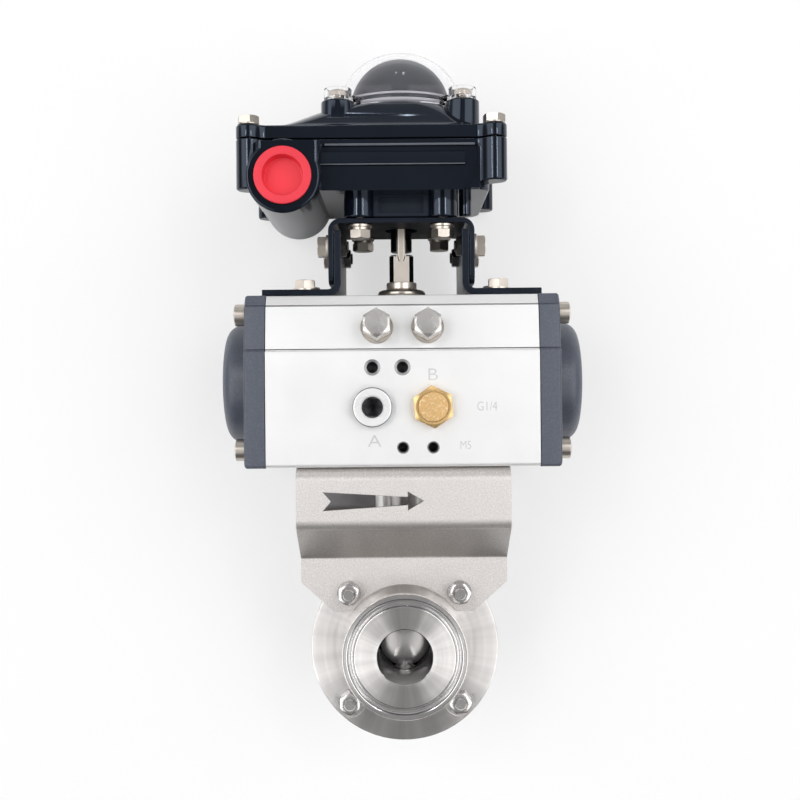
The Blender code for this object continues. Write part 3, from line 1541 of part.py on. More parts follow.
for sign in (-1, 1):
    for y in (-BOX_BOLT_Y, BOX_BOLT_Y):
        bolt = stacked(
            [
                (M5_HEX_AF / 2, 6, foot_leg_inner - GAP - M5_HEX_HIGH),
                (M5_HEX_AF / 2, 6, foot_leg_inner - GAP),
                (M5_R, 0, foot_leg_inner - GAP),
                (M5_R, 0, U_HALF_WIDTH - SHEET / 2),
                (M5_WASHER_R, 0, U_HALF_WIDTH - SHEET / 2),
                (M5_WASHER_R, 0, U_HALF_WIDTH + M5_WASHER_THICK),
                (M5_HEX_AF / 2, 6, U_HALF_WIDTH + M5_WASHER_THICK),
                (M5_HEX_AF / 2, 6, U_HALF_WIDTH + M5_WASHER_THICK + M5_HEX_HIGH),
            ]
        )
        side_bolts.append(moved(bolt, (0, y, SIDE_BOLT_Z), TO_RIGHT if sign > 0 else TO_LEFT))
join(top_bracket, together(side_bolts), "side_bolts")

foot_top = ACT_TOP + GAP + SHEET
for name, sign in (("foot_left", -1), ("foot_right", 1)):
    foot_path = [
        (sign * (foot_leg_outer - SHEET / 2), FOOT_LEG_TOP),
        (sign * (foot_leg_outer - SHEET / 2), foot_top - SHEET / 2),
        (sign * FOOT_REACH, foot_top - SHEET / 2),
    ]
    foot_outline = thickened(rounded_path(foot_path, BRACKET_BEND_R), SHEET)
    foot = make(
        name,
        moved(prism(foot_outline, -half_deep, half_deep), rotation=TO_FRONT),
        "black",
    )
    leg_holes = [
        moved(
            cylinder(
                SHEET_PLAY_R,
                foot_leg_inner - OVERCUT,
                foot_leg_outer + OVERCUT,
                steps=HOLE_STEPS,
            ),
            (0, y, SIDE_BOLT_Z),
            TO_RIGHT if sign > 0 else TO_LEFT,
        )
        for y in (-BOX_BOLT_Y, BOX_BOLT_Y)
    ]
    cut(foot, together(leg_holes), name + "_holes")
    foot_bolts = [
        moved(
            stacked(
                [
                    (M5_R, 0, ACT_TOP - FOOT_BOLT_IN),
                    (M5_R, 0, foot_top - SHEET / 2),
                    (M5_WASHER_R, 0, foot_top - SHEET / 2),
                    (M5_WASHER_R, 0, foot_top + M5_WASHER_THICK),
                    (M5_HEX_AF / 2, 6, foot_top + M5_WASHER_THICK),
                    (M5_HEX_AF / 2, 6, foot_top + M5_WASHER_THICK + M5_HEX_HIGH),
                ]
            ),
            (sign * FOOT_BOLT_X, y, 0),
        )
        for y in (-FOOT_BOLT_Y, FOOT_BOLT_Y)
    ]
    join(foot, together(foot_bolts), name + "_bolts")

# Bolts from below into the switch box
washer_top = -GAP
washer_low = washer_top - M5_WASHER_THICK
spring_low = washer_low - BOX_BOLT_SPRING_THICK
BOX_BOLT_LEVELS = [
    (M5_HEX_AF / 2, 6, spring_low - M5_HEX_HIGH),
    (M5_HEX_AF / 2, 6, spring_low),
    (BOX_BOLT_SPRING_R, 0, spring_low),
    (BOX_BOLT_SPRING_R, 0, washer_low),
    (M5_WASHER_R, 0, washer_low),
    (M5_WASHER_R, 0, washer_top),
    (M5_R, 0, washer_top),
    (M5_R, 0, SHEET + GAP + BOX_BOLT_IN),
]
first_bolt = None
for x, y in box_bolt_places:
    name = "box_bolt_" + ("left" if x < 0 else "right") + ("_front" if y < 0 else "_rear")
    place = (x, y, U_TOP - SHEET)
    if first_bolt is None:
        first_bolt = make(name, stacked(BOX_BOLT_LEVELS), "screw", place)
    else:
        share(name, first_bolt, place)

# Switch box base
box_origin = (BOX_CENTRE_X, 0, 0)
lug_places = [(x, y) for x in (-LUG_X, LUG_X) for y in (-LUG_Y, LUG_Y)]
base = make(
    "switch_base",
    prism(rounded_rectangle(BOX_HALF_X, BOX_HALF_Y, BOX_CORNER_R), BOX_LOW, BOX_SEAM),
    "gloss",
    box_origin,
)
base_lugs = [
    cylinder(LUG_R, BOX_LOW + (LUG_RIGHT_SHORT if x > 0 else 0), BOX_SEAM, (x, y))
    for x, y in lug_places
]
join(base, together(base_lugs), "base_lugs")
to_box = -BOX_CENTRE_X
panel = block(
    (PANEL_LEFT + to_box, -BOX_HALF_Y - OVERCUT, BOX_LOW - OVERCUT),
    (PANEL_RIGHT + to_box, -BOX_HALF_Y + PANEL_DEEP, PANEL_TOP),
)
cut(base, panel, "base_panel")
ledge = block(
    (LEDGE_LEFT + to_box, -BOX_HALF_Y - LEDGE_OUT + PANEL_DEEP, LEDGE_LOW),
    (LEDGE_RIGHT + to_box, -BOX_HALF_Y + PANEL_DEEP + BOX_WALL / 2, LEDGE_TOP),
)
join(base, ledge, "base_ledge")
pedestal = prism(
    rounded_rectangle(PEDESTAL_HALF_X, PEDESTAL_HALF_Y, PEDESTAL_CORNER_R, to_box),
    PEDESTAL_LOW,
    BOX_LOW + BOX_WALL / 2,
)
join(base, pedestal, "base_pedestal")
pedestal_bosses = [
    cylinder(PEDESTAL_BOSS_R, PEDESTAL_LOW, BOX_LOW + BOX_WALL / 2, (x + to_box, y))
    for x, y in box_bolt_places
]
join(base, together(pedestal_bosses), "base_pedestal_bosses")


def conduit_shell():
    front = -CONDUIT_FRONT
    back = -CONDUIT_BACK
    return turned(
        [
            (0, back),
            (CONDUIT_R - CONDUIT_ROUND, back),
            (CONDUIT_R, back + CONDUIT_ROUND),
            (CONDUIT_R, front - CONDUIT_ROUND / 3),
            (CONDUIT_R - CONDUIT_ROUND / 3, front),
            (0, front),
        ],
        MIDDLE_STEPS,
    )


conduit_place = (CONDUIT_X + to_box, 0, CONDUIT_Z)
join(base, moved(conduit_shell(), conduit_place, TO_FRONT), "base_conduit")
cavity_half_x = BOX_HALF_X - BOX_WALL
cavity_half_y = BOX_HALF_Y - BOX_WALL - PANEL_DEEP
cavity_corner_r = BOX_CORNER_R - BOX_WALL
cavity = prism(
    rounded_rectangle(cavity_half_x, cavity_half_y, cavity_corner_r),
    BOX_FLOOR_TOP,
    BOX_SEAM + OVERCUT,
)
cut(base, cavity, "base_cavity")
conduit_mouth = -CONDUIT_FRONT
conduit_bore = cylinder(
    CONDUIT_BORE_R,
    conduit_mouth - CONDUIT_BORE_DEEP,
    conduit_mouth + OVERCUT,
    steps=MIDDLE_STEPS,
)
cut(base, moved(conduit_bore, conduit_place, TO_FRONT), "base_conduit_bore")
base_holes = [
    cylinder(
        SHEET_PLAY_R,
        PEDESTAL_LOW - OVERCUT,
        PEDESTAL_LOW + BOX_BOLT_IN + 2 * GAP,
        (x + to_box, y),
        HOLE_STEPS,
    )
    for x, y in box_bolt_places
]
base_holes.append(
    cylinder(SHAFT_R + SHAFT_PLAY, PEDESTAL_LOW - OVERCUT, BOX_SEAM, (to_box, 0))
)
cut(base, together(base_holes), "base_holes")
lug_holes = [
    cylinder(
        COVER_SCREW_R + GAP,
        BOX_SEAM - COVER_SCREW_IN - GAP,
        BOX_SEAM + OVERCUT,
        place,
        HOLE_STEPS,
    )
    for place in lug_places
]
cut(base, together(lug_holes), "base_lug_holes")

# Gasket in the seam
gasket_low = BOX_SEAM - GASKET_THICK
gasket_outer = rounded_rectangle(cavity_half_x - GAP, cavity_half_y - GAP, cavity_corner_r)
gasket = make("cover_gasket", prism(gasket_outer, gasket_low, BOX_SEAM), "rubber", box_origin)
gasket_hole = rounded_rectangle(
    cavity_half_x - GAP - GASKET_WIDE,
    cavity_half_y - GAP - GASKET_WIDE,
    cavity_corner_r - GASKET_WIDE / 2,
)
cut(gasket, prism(gasket_hole, gasket_low - OVERCUT, BOX_SEAM + OVERCUT), "gasket_hole")


# Switch box cover: rim, hollow hood and bosses
def hood_section(share_up, wall):
    """Outline that passes from the box's rounded rectangle to the round hood."""
    left = (BOX_CENTRE_X - BOX_HALF_X + wall) * (1 - share_up) + (-HOOD_R + wall) * share_up
    right = (BOX_CENTRE_X + BOX_HALF_X - wall) * (1 - share_up) + (HOOD_R - wall) * share_up
    deep = (BOX_HALF_Y - wall) * (1 - share_up) + (HOOD_R - wall) * share_up
    corner = (BOX_CORNER_R - wall / 2) * (1 - share_up) + (HOOD_R - wall) * share_up
    return rounded_rectangle((right - left) / 2, deep, corner, (left + right) / 2)


def hood(wall, low, top, inner_drop, rings):
    sections = [(hood_section(0.0, wall), low)]
    for index in range(rings + 1):
        share_up = index / rings
        height = BOX_RIM_TOP - inner_drop + (top - BOX_RIM_TOP) * share_up**HOOD_CURVE
        sections.append((hood_section(share_up, wall), height))
    return loft(sections)


cover_low = BOX_SEAM + GAP
cover = make("switch_cover", hood(0.0, cover_low, HOOD_TOP, 0.0, HOOD_RINGS), "gloss")
rim_lugs = [
    cylinder(LUG_R, cover_low, BOX_RIM_TOP, (x + BOX_CENTRE_X, y))
    for x, y in lug_places
]
join(cover, together(rim_lugs), "cover_lugs")
boss_places = [
    (x, y) for x in (-DOME_BOSS_XY, DOME_BOSS_XY) for y in (-DOME_BOSS_XY, DOME_BOSS_XY)
]
bosses = [cylinder(DOME_BOSS_R, DOME_BOSS_LOW, HOOD_TOP, place) for place in boss_places]
join(cover, together(bosses), "cover_bosses")
inside = hood(HOOD_WALL, cover_low - OVERCUT, HOOD_TOP, HOOD_WALL, HOOD_INNER_RINGS)
cut(cover, inside, "cover_inside")
cover_holes = [
    cylinder(
        COVER_SCREW_R + GAP,
        cover_low - OVERCUT,
        BOX_RIM_TOP + OVERCUT,
        (x + BOX_CENTRE_X, y),
        HOLE_STEPS,
    )
    for x, y in lug_places
]
cover_holes.append(cylinder(SHAFT_R + SHAFT_PLAY, BOX_RIM_TOP, HOOD_TOP + OVERCUT))
cut(cover, together(cover_holes), "cover_holes")

COVER_SCREW_LEVELS = [
    (COVER_SCREW_R, 0, -COVER_SCREW_IN - BOX_RIM_TOP + BOX_SEAM),
    (COVER_SCREW_R, 0, 0),
    (COVER_SCREW_WASHER_R, 0, 0),
    (COVER_SCREW_WASHER_R, 0, COVER_SCREW_WASHER_THICK),
    (COVER_SCREW_AF / 2, 6, COVER_SCREW_WASHER_THICK),
    (COVER_SCREW_AF / 2, 6, COVER_SCREW_WASHER_THICK + COVER_SCREW_HIGH),
]
first_cover_screw = None
for x, y in lug_places:
    name = "cover_screw_" + ("left" if x < 0 else "right") + ("_front" if y < 0 else "_rear")
    place = (x + BOX_CENTRE_X, y, BOX_RIM_TOP + GAP)
    if first_cover_screw is None:
        first_cover_screw = make(name, stacked(COVER_SCREW_LEVELS), "screw", place)
    else:
        share(name, first_cover_screw, place)


# Domes
def dome_profile(radius, low, top, rings=DOME_RINGS):
    """From the edge up to the crown."""
    points = []
    for index in range(rings + 1):
        angle = QUARTER * index / rings
        reach = radius * math.cos(angle) if index < rings else 0
        points.append((reach, low + (top - low) * math.sin(angle)))
    return points


dome_low = HOOD_TOP + GAP
outside = dome_profile(DOME_R, DOME_FLANGE_TOP, DOME_TOP)
inside = dome_profile(DOME_R - DOME_WALL, DOME_FLANGE_TOP, DOME_TOP - DOME_WALL)[::-1]
dome_points = (
    inside
    + [(DOME_R - DOME_WALL, dome_low), (DOME_FLANGE_R, dome_low), (DOME_FLANGE_R, DOME_FLANGE_TOP)]
    + outside
)
dome = make("dome_cover", turned(dome_points), "plastic")
web_start = DOME_R - DOME_WALL / 2
web_end = math.hypot(DOME_BOSS_XY, DOME_BOSS_XY)
dome_webs = [
    moved(
        block(
            (web_start, -DOME_WEB_HALF, dome_low),
            (web_end, DOME_WEB_HALF, dome_low + DOME_WEB_THICK),
        ),
        rotation=turn(angle, "Z"),
    )
    for angle in (45, 135, 225, 315)
]
join(dome, together(dome_webs), "dome_webs")
dome_lugs = [cylinder(DOME_LUG_R, dome_low, DOME_LUG_TOP, place) for place in boss_places]
join(dome, together(dome_lugs), "dome_lugs")

indicator_spring = INDICATOR_TOP - INDICATOR_R
outside = dome_profile(INDICATOR_R, indicator_spring, INDICATOR_TOP)
inside = dome_profile(
    INDICATOR_R - INDICATOR_WALL, indicator_spring, INDICATOR_TOP - INDICATOR_WALL
)[::-1]
hub_r = INDICATOR_HUB_R
inner_r = INDICATOR_R - INDICATOR_WALL
indicator_points = (
    inside
    + [(inner_r, INDICATOR_LOW), (INDICATOR_R, INDICATOR_LOW)]
    + outside
)
indicator = make("indicator", turned(indicator_points, MIDDLE_STEPS), "dark", parent=stem_axis)
join(
    indicator,
    stacked(
        [
            (SHAFT_R + GAP, 0, SHAFT_TOP + GAP),
            (SHAFT_R + GAP, 0, INDICATOR_LOW),
            (hub_r, 0, INDICATOR_LOW),
            (hub_r, 0, INDICATOR_TOP - INDICATOR_WALL),
        ],
        SMALL_STEPS,
    ),
    "indicator_hub",
)

# Switch shaft, cams and switches
shaft = make(
    "switch_shaft",
    cylinder(SHAFT_R, SHAFT_LOW, SHAFT_TOP),
    "screw",
    parent=stem_axis,
)
tongue = block(
    (-TONGUE_THICK / 2, -TONGUE_WIDE / 2, SHAFT_LOW - TONGUE_HIGH),
    (TONGUE_THICK / 2, TONGUE_WIDE / 2, SHAFT_LOW + TONGUE_HIGH),
)
join(shaft, tongue, "shaft_tongue")


def cam_outline(start):
    """Round cam with one raised sector."""
    points = []
    for index in range(SMALL_STEPS):
        angle = math.tau * index / SMALL_STEPS
        lobe = max(0.0, math.cos(angle - start)) ** 2
        reach = CAM_R + CAM_LOBE * lobe
        points.append((reach * math.cos(angle), reach * math.sin(angle)))
    return points


for name, low, start in (
    ("cam_lower", CAM_LOWER_Z, -QUARTER),
    ("cam_upper", CAM_LOWER_Z + CAM_STEP, -math.pi),
):
    cam = make(name, prism(cam_outline(start), low, low + CAM_THICK), "red", parent=stem_axis)
    cut(cam, cylinder(SHAFT_R + GAP, low - OVERCUT, low + CAM_THICK + OVERCUT), name + "_hole")

switch_x = -(CAM_R + CAM_LOBE + 2 * GAP + SWITCH_PLUNGER)
switch_low = BOX_FLOOR_TOP + GAP
for name, low in (
    ("micro_switch_lower", switch_low),
    ("micro_switch_upper", switch_low + SWITCH_HIGH + GAP),
):
    case = make(
        name,
        block(
            (-SWITCH_WIDE, -SWITCH_LONG / 2, 0),
            (0, SWITCH_LONG / 2, SWITCH_HIGH),
        ),
        "black",
        (switch_x, 0, low),
    )
    plunger = block(
        (-SWITCH_WIDE / 2, -SWITCH_PLUNGER, SWITCH_HIGH / 2 - SWITCH_PLUNGER),
        (SWITCH_PLUNGER, SWITCH_PLUNGER, SWITCH_HIGH / 2 + SWITCH_PLUNGER),
    )
    join(case, plunger, name + "_plunger")

# Red plug in the conduit opening
make(
    "conduit_plug",
    turned(
        [
            (0, RED_PLUG_PROUD - RED_PLUG_RECESS_DEEP),
            (RED_PLUG_RECESS_R, RED_PLUG_PROUD - RED_PLUG_RECESS_DEEP),
            (RED_PLUG_RECESS_R, RED_PLUG_PROUD),
            (RED_PLUG_R, RED_PLUG_PROUD),
            (RED_PLUG_R, GAP),
            (CONDUIT_BORE_R - GAP, GAP),
            (CONDUIT_BORE_R - GAP, -RED_PLUG_IN),
            (0, -RED_PLUG_IN),
        ],
        MIDDLE_STEPS,
    ),
    "red",
    (CONDUIT_X, CONDUIT_FRONT, CONDUIT_Z),
    (QUARTER, 0, 0),
)
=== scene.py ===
import json
from math import acos, atan2, cos, degrees, hypot, pi, radians, sin, sqrt, tan, tau

import bmesh
import bpy
from mathutils import Matrix, Vector


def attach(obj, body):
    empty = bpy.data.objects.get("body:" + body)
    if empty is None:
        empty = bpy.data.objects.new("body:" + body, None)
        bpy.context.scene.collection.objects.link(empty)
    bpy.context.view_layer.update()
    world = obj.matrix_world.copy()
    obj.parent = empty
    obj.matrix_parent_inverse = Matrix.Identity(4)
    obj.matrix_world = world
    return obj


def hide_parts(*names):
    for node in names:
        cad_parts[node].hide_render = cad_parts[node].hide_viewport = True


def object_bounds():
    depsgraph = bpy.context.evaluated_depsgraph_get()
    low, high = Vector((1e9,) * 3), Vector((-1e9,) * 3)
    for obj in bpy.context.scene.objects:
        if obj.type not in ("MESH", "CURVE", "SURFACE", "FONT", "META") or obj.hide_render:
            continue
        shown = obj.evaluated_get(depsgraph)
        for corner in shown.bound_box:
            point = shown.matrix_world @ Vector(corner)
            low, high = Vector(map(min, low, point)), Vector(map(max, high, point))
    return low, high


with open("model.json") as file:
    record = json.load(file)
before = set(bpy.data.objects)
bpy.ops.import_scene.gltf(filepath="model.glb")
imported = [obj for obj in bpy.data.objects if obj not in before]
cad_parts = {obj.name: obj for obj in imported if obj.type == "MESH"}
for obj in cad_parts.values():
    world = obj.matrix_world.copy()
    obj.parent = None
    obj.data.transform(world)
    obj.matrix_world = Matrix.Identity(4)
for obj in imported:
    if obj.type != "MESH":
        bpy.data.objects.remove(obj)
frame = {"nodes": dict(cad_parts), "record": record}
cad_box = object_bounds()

MM = 0.001
TAU = tau
QUARTER = pi / 2


# Node materials
class Graph:
    """Adds nodes to the tree of a material or of the world."""

    def __init__(self, owner, shader="Principled BSDF"):
        owner.use_nodes = True
        self.owner = owner
        self.tree = owner.node_tree
        self.shader = self.tree.nodes[shader]

    def feed(self, target, value):
        """Links an output, or a node's first, to a socket, or sets the socket's constant."""
        if isinstance(value, bpy.types.Node):
            value = value.outputs[0]
        if isinstance(value, bpy.types.NodeSocket):
            self.tree.links.new(value, target)
        else:
            target.default_value = (*value, 1) if hasattr(value, "__len__") else value

    def put(self, node, **values):
        """Names in lower case are the node's settings, the others its sockets."""
        for key, value in values.items():
            if key.islower():
                setattr(node, key, value)
            else:
                self.feed(node.inputs[key.replace("_", " ")], value)
        return node

    def node(self, kind, *values, **named):
        made = self.put(self.tree.nodes.new("ShaderNode" + kind), **named)
        for target, value in zip(made.inputs, values):
            self.feed(target, value)
        return made

    def coordinates(self, kind="Object"):
        return self.node("TexCoord").outputs[kind]

    def calculate(self, operation, *values):
        return self.node("Math", *values, operation=operation)

    def noise(self, vector, scale, detail=3):
        return self.node("TexNoise", Vector=vector, Scale=scale, Detail=detail, Roughness=0.55)

    def ramp(self, factor, *stops):
        """Colours at their places between 0 and 1."""
        made = self.node("ValToRGB", factor)
        elements = made.color_ramp.elements
        while len(elements) < len(stops):
            elements.new(0.5)
        for element, (place, colour) in zip(elements, stops):
            element.position = place
            element.color = (*colour, 1)
        return made

    def span(self, factor, low, high, start=0.3, end=0.7, curve="LINEAR"):
        """From low at start to high at end."""
        return self.node("MapRange", factor, start, end, low, high, interpolation_type=curve)

    def bump(self, height, distance, strength=1, **before):
        return self.node("Bump", Height=height, Distance=distance, Strength=strength, **before)

    def looked_at(self):
        """1 for what is seen directly or through the clear dome, 0 for light and mirroring."""
        path = self.node("LightPath").outputs
        return self.calculate("MAXIMUM", path["Is Camera Ray"], path["Is Transmission Ray"])


def shade(colour, amount):
    return tuple(min(1, max(0, channel * amount)) for channel in colour)


def grained(name, colour, rough, metallic, grain, height, spread=0.06, rough_spread=0.06, **extra):
    """Even surface with fine grain, faint cloudy tone and uneven gloss."""
    graph = Graph(bpy.data.materials.new("look_" + name))
    place = graph.coordinates()
    cloud = graph.noise(place, 60, 2)
    dark, light = shade(colour, 1 - spread), shade(colour, 1 + spread)
    graph.put(
        graph.shader,
        Base_Color=graph.ramp(cloud, (0.3, dark), (0.7, light)),
        Roughness=graph.span(cloud, rough - rough_spread, rough + rough_spread),
        Normal=graph.bump(graph.noise(place, grain), height),
        Metallic=metallic,
        **extra,
    )
    return graph.owner


def turned_steel(name, colour, rough, axis="Y", painted_sheen=0.20):
    """Lathe-turned stainless: rings cut by the tool, an anisotropic sheen and painted sheen sectors
    round the axis.
    """
    graph = Graph(bpy.data.materials.new("look_" + name))
    parts = graph.node("SeparateXYZ", graph.coordinates()).outputs
    first, second = (parts[letter] for letter in "XYZ".replace(axis, ""))
    outwards = graph.node("CombineXYZ", first, second)
    radius = graph.node("VectorMath", outwards, operation="LENGTH").outputs["Value"]
    profile = graph.node("CombineXYZ", radius, parts[axis])
    angle = graph.calculate("ARCTAN2", second, first)
    painted_sheen_sectors = graph.noise(graph.node("CombineXYZ", angle), 2.6)
    broad = graph.noise(profile, 700, 1)
    rings = graph.noise(profile, 4200, 2)
    dark, light = shade(colour, 1 - painted_sheen), shade(colour, 1 + painted_sheen)
    graph.put(
        graph.shader,
        # Painted sheen: the base colour is lighter and darker in sectors round the axis, like the
        # sunburst reflection of turned metal
        Base_Color=graph.ramp(painted_sheen_sectors, (0.35, dark), (0.65, light)),
        Roughness=graph.span(broad, rough - 0.04, rough + 0.06),
        Normal=graph.bump(rings, 8e-6, 0.5),
        Tangent=graph.node("Tangent", direction_type="RADIAL", axis=axis),
        Metallic=1,
        Anisotropic=0.9,
        Anisotropic_Rotation=0.25,
    )
    return graph.owner


def speckled(name, colour, rough, speck, size, height, metallic=0):
    """Textured coat: fine bumps with lighter specks on them."""
    graph = Graph(bpy.data.materials.new("look_" + name))
    place = graph.coordinates()
    cells = graph.node("TexVoronoi", feature="F1", Vector=place, Scale=size)
    fine = graph.noise(place, size * 0.7)
    grains = graph.bump(fine, height, 0.5)
    graph.put(
        graph.shader,
        Base_Color=graph.ramp(fine, (0.36, shade(colour, 0.88)), (0.55, colour), (0.72, speck)),
        Roughness=graph.span(fine, rough + 0.08, rough - 0.08),
        Normal=graph.bump(cells, height * 0.6, 0.5, Normal=grains),
        Metallic=metallic,
    )
    return graph.owner


def gloss_coat(name, colour, rough):
    """Thick glossy enamel with orange peel."""
    graph = Graph(bpy.data.materials.new("look_" + name))
    place = graph.coordinates()
    cloud = graph.noise(place, 45, 2)
    dark, light = shade(colour, 0.8), shade(colour, 1.25)
    graph.put(
        graph.shader,
        Base_Color=graph.ramp(cloud, (0.3, dark), (0.7, light)),
        Roughness=graph.span(cloud, rough - 0.015, rough + 0.03),
        Normal=graph.bump(graph.noise(place, 330, 1.5), 2e-5),
        IOR=1.55,
        Specular_Tint=(0.68, 0.80, 1),
    )
    return graph.owner


STEEL = (0.85, 0.825, 0.81)
BLASTED = (0.79, 0.755, 0.735)
# Colour, roughness, metallic, grain, its height in metres, spread of tone and of roughness
GRAINED = {
    "polished_steel": ((0.70, 0.69, 0.685), 0.10, 1, 900, 3e-6, 0.03, 0.03),
    # Painted shade: a darker grey for the inner faces and cut walls of the valve bracket
    "inside": ((0.33, 0.32, 0.325), 0.40, 1, 2600, 5e-5, 0.05, 0.05),
    "milled": ((0.86, 0.78, 0.70), 0.34, 0.80, 1900, 2e-5, 0.06, 0.05),
    "screw_steel": ((0.58, 0.53, 0.475), 0.30, 0.94, 900, 3e-5, 0.08, 0.06),
    "screw": ((0.78, 0.76, 0.75), 0.22, 0.90, 1400, 1e-5, 0.05, 0.06),
    "forged": ((0.74, 0.72, 0.70), 0.27, 0.80, 520, 1.6e-4, 0.05, 0.08),
    "chrome": ((0.95, 0.95, 0.95), 0.30, 0.30, 1500, 1e-5, 0.02, 0.05),
    "disc": ((0.76, 0.745, 0.735), 0.42, 0.85, 700, 1e-5, 0.05, 0.05),
    # Painted shade: darker greys for countersinks and for grooves
    "sink": ((0.40, 0.40, 0.41), 0.42, 0.6, 1200, 3e-5, 0.05),
    "groove": ((0.16, 0.16, 0.17), 0.5, 0.5, 1200, 3e-5, 0.05),
    # Painted highlight: whitish half-clear material for the beads of the dome's rim
    "painted_highlight_bead": ((0.90, 0.88, 0.96), 0.16, 0, 900, 1e-5, 0.02, 0.03),
    "clear_dome": ((0.985, 0.985, 0.99), 0.008, 0, 300, 5e-7, 0.004, 0.008),
    "aluminium": ((0.90, 0.90, 0.90), 0.44, 0.55, 3400, 3e-5, 0.008, 0.03),
    "bracket_paint": ((0.009, 0.0115, 0.018), 0.20, 0, 900, 3e-5, 0.15, 0.05),
    # Painted shade: darker, duller paint for the underside of the U bracket
    "painted_shade_under": ((0.008, 0.009, 0.013), 0.50, 0, 900, 3e-5, 0.15, 0.05),
    # Painted highlight: pale paint for the rounded edges of the switch box base
    "edge": ((0.17, 0.185, 0.21), 0.20, 0, 1300, 1e-5, 0.10, 0.04),
    "rubber": ((0.035, 0.035, 0.036), 0.62, 0, 1200, 4e-5),
    "bearing_plastic": ((0.74, 0.72, 0.66), 0.5, 0, 1200, 3e-5),
    "red_plastic": ((0.87, 0.036, 0.062), 0.45, 0, 1300, 3e-5, 0.05, 0.06),
    "brass": ((0.95, 0.64, 0.29), 0.26, 0.70, 1200, 2e-5, 0.06, 0.07),
    "indicator_plastic": ((0.058, 0.064, 0.078), 0.46, 0, 1500, 2e-5, 0.06),
    "switch_plastic": ((0.02, 0.02, 0.022), 0.45, 0, 1200, 3e-5),
    # Dark steel, and painted shade on the cut corners of the pinion head
    "burnished_and_painted_shade": ((0.17, 0.165, 0.165), 0.24, 1, 1200, 2e-5),
    # Dark steel, also used as painted shade on the groove walls of the ferrule and the edge of plug
    # A
    "spring_steel": ((0.32, 0.33, 0.35), 0.30, 1, 1200, 3e-5),
    # Painted shade: near black for the insides of holes and sockets
    "hole": ((0.080, 0.082, 0.088), 0.35, 0.6, 1200, 3e-5),
    "mark": ((0.62, 0.625, 0.63), 0.6, 0.1, 4000, 3e-5, 0.08),
}
EXTRAS = {
    "painted_highlight_bead": {"Transmission_Weight": 0.55, "IOR": 1.47},
    "clear_dome": {"Transmission_Weight": 1, "IOR": 1.30},
    "bracket_paint": {"Specular_Tint": (0.7, 0.81, 1)},
    "painted_shade_under": {"Specular_IOR_Level": 0.12},
}
# Colour, roughness, colour of the specks, their size and height, metallic
SPECKLED = {
    "blasted_steel": (BLASTED, 0.48, shade(BLASTED, 1.16), 2300, 8e-5, 1),
    "shaded": (shade(BLASTED, 0.70), 0.48, shade(BLASTED, 0.82), 2300, 8e-5, 1),
    "cap_paint": ((0.092, 0.104, 0.136), 0.36, (0.115, 0.128, 0.162), 2300, 6e-5),
    "sinter": ((0.78, 0.50, 0.22), 0.42, (1, 0.86, 0.60), 1500, 2e-4, 0.7),
}
looks = {name: grained(name, *row, **EXTRAS.get(name, {})) for name, row in GRAINED.items()}
looks |= {name: speckled(name, *row) for name, row in SPECKLED.items()}
looks["turned_steel"] = turned_steel("turned_steel", STEEL, 0.30, painted_sheen=0.16)
looks["turned_up"] = turned_steel("turned_up", STEEL, 0.34, "Z")
looks["rim"] = turned_steel("rim", shade(STEEL, 1.08), 0.20, painted_sheen=0.05)
looks["box_paint"] = gloss_coat("box_paint", (0.0040, 0.0056, 0.0100), 0.085)
# Painted sheen: a paler copy of the box paint for the pedestal front
looks["painted_sheen_front"] = gloss_coat("painted_sheen_front", (0.018, 0.023, 0.032), 0.12)

# Looks named like a material slot of the CAD belong to that slot, and these to another
SLOTS = dict.fromkeys(["screw", "milled", "burnished_and_painted_shade", "forged", "chrome"], "screw_steel")
SLOTS |= {"disc": "polished_steel", "turned_up": "turned_steel", "mark": "aluminium"}
SLOTS["sinter"] = "brass"

for row in frame["record"]["subparts"]:
    node = frame["nodes"][row["node"]]
    node.data.materials.clear()
    node.data.materials.append(looks[row["material_slot"]])


# Modelling kit: shapes are drawn in millimetres, and dress brings them to metres
def moved(mesh, *steps):
    """Turned by each matrix and moved by each offset; the last move makes -0.0 a plain 0.0."""
    for step in (*steps, (0, 0, 0)):
        if isinstance(step, Matrix):
            bmesh.ops.transform(mesh, matrix=step, verts=mesh.verts)
        else:
            bmesh.ops.translate(mesh, verts=mesh.verts, vec=step)
    return mesh


def together(meshes):
    whole = bmesh.new()
    for mesh in meshes:
        part = bpy.data.meshes.new("part")
        mesh.to_mesh(part)
        mesh.free()
        whole.from_mesh(part)
        bpy.data.meshes.remove(part)
    return whole


def lathe(profile, steps=96):
    """Closed profile of (radius, height) spun round Z."""
    mesh = bmesh.new()
    points = [mesh.verts.new((radius, 0, height)) for radius, height in profile]
    edges = [mesh.edges.new(pair) for pair in zip(points, points[1:])]
    if profile[0][0] > 0 or profile[-1][0] > 0:
        edges.append(mesh.edges.new((points[-1], points[0])))
    axis = (0, 0, 1)
    bmesh.ops.spin(mesh, geom=points + edges, cent=(0, 0, 0), axis=axis, angle=TAU, steps=steps)
    bmesh.ops.remove_doubles(mesh, verts=mesh.verts, dist=0.0005)
    bmesh.ops.recalc_face_normals(mesh, faces=mesh.faces)
    return mesh


def loft(sections):
    """Stack of (outline, height) with as many points each."""
    mesh = bmesh.new()
    rings = [[mesh.verts.new((x, y, height)) for x, y in ring] for ring, height in sections]
    for below, above in zip(rings, rings[1:]):
        for index in range(len(below)):
            following = (index + 1) % len(below)
            mesh.faces.new((below[index], below[following], above[following], above[index]))
    mesh.faces.new(rings[0])
    mesh.faces.new(rings[-1])
    bmesh.ops.recalc_face_normals(mesh, faces=mesh.faces)
    return mesh


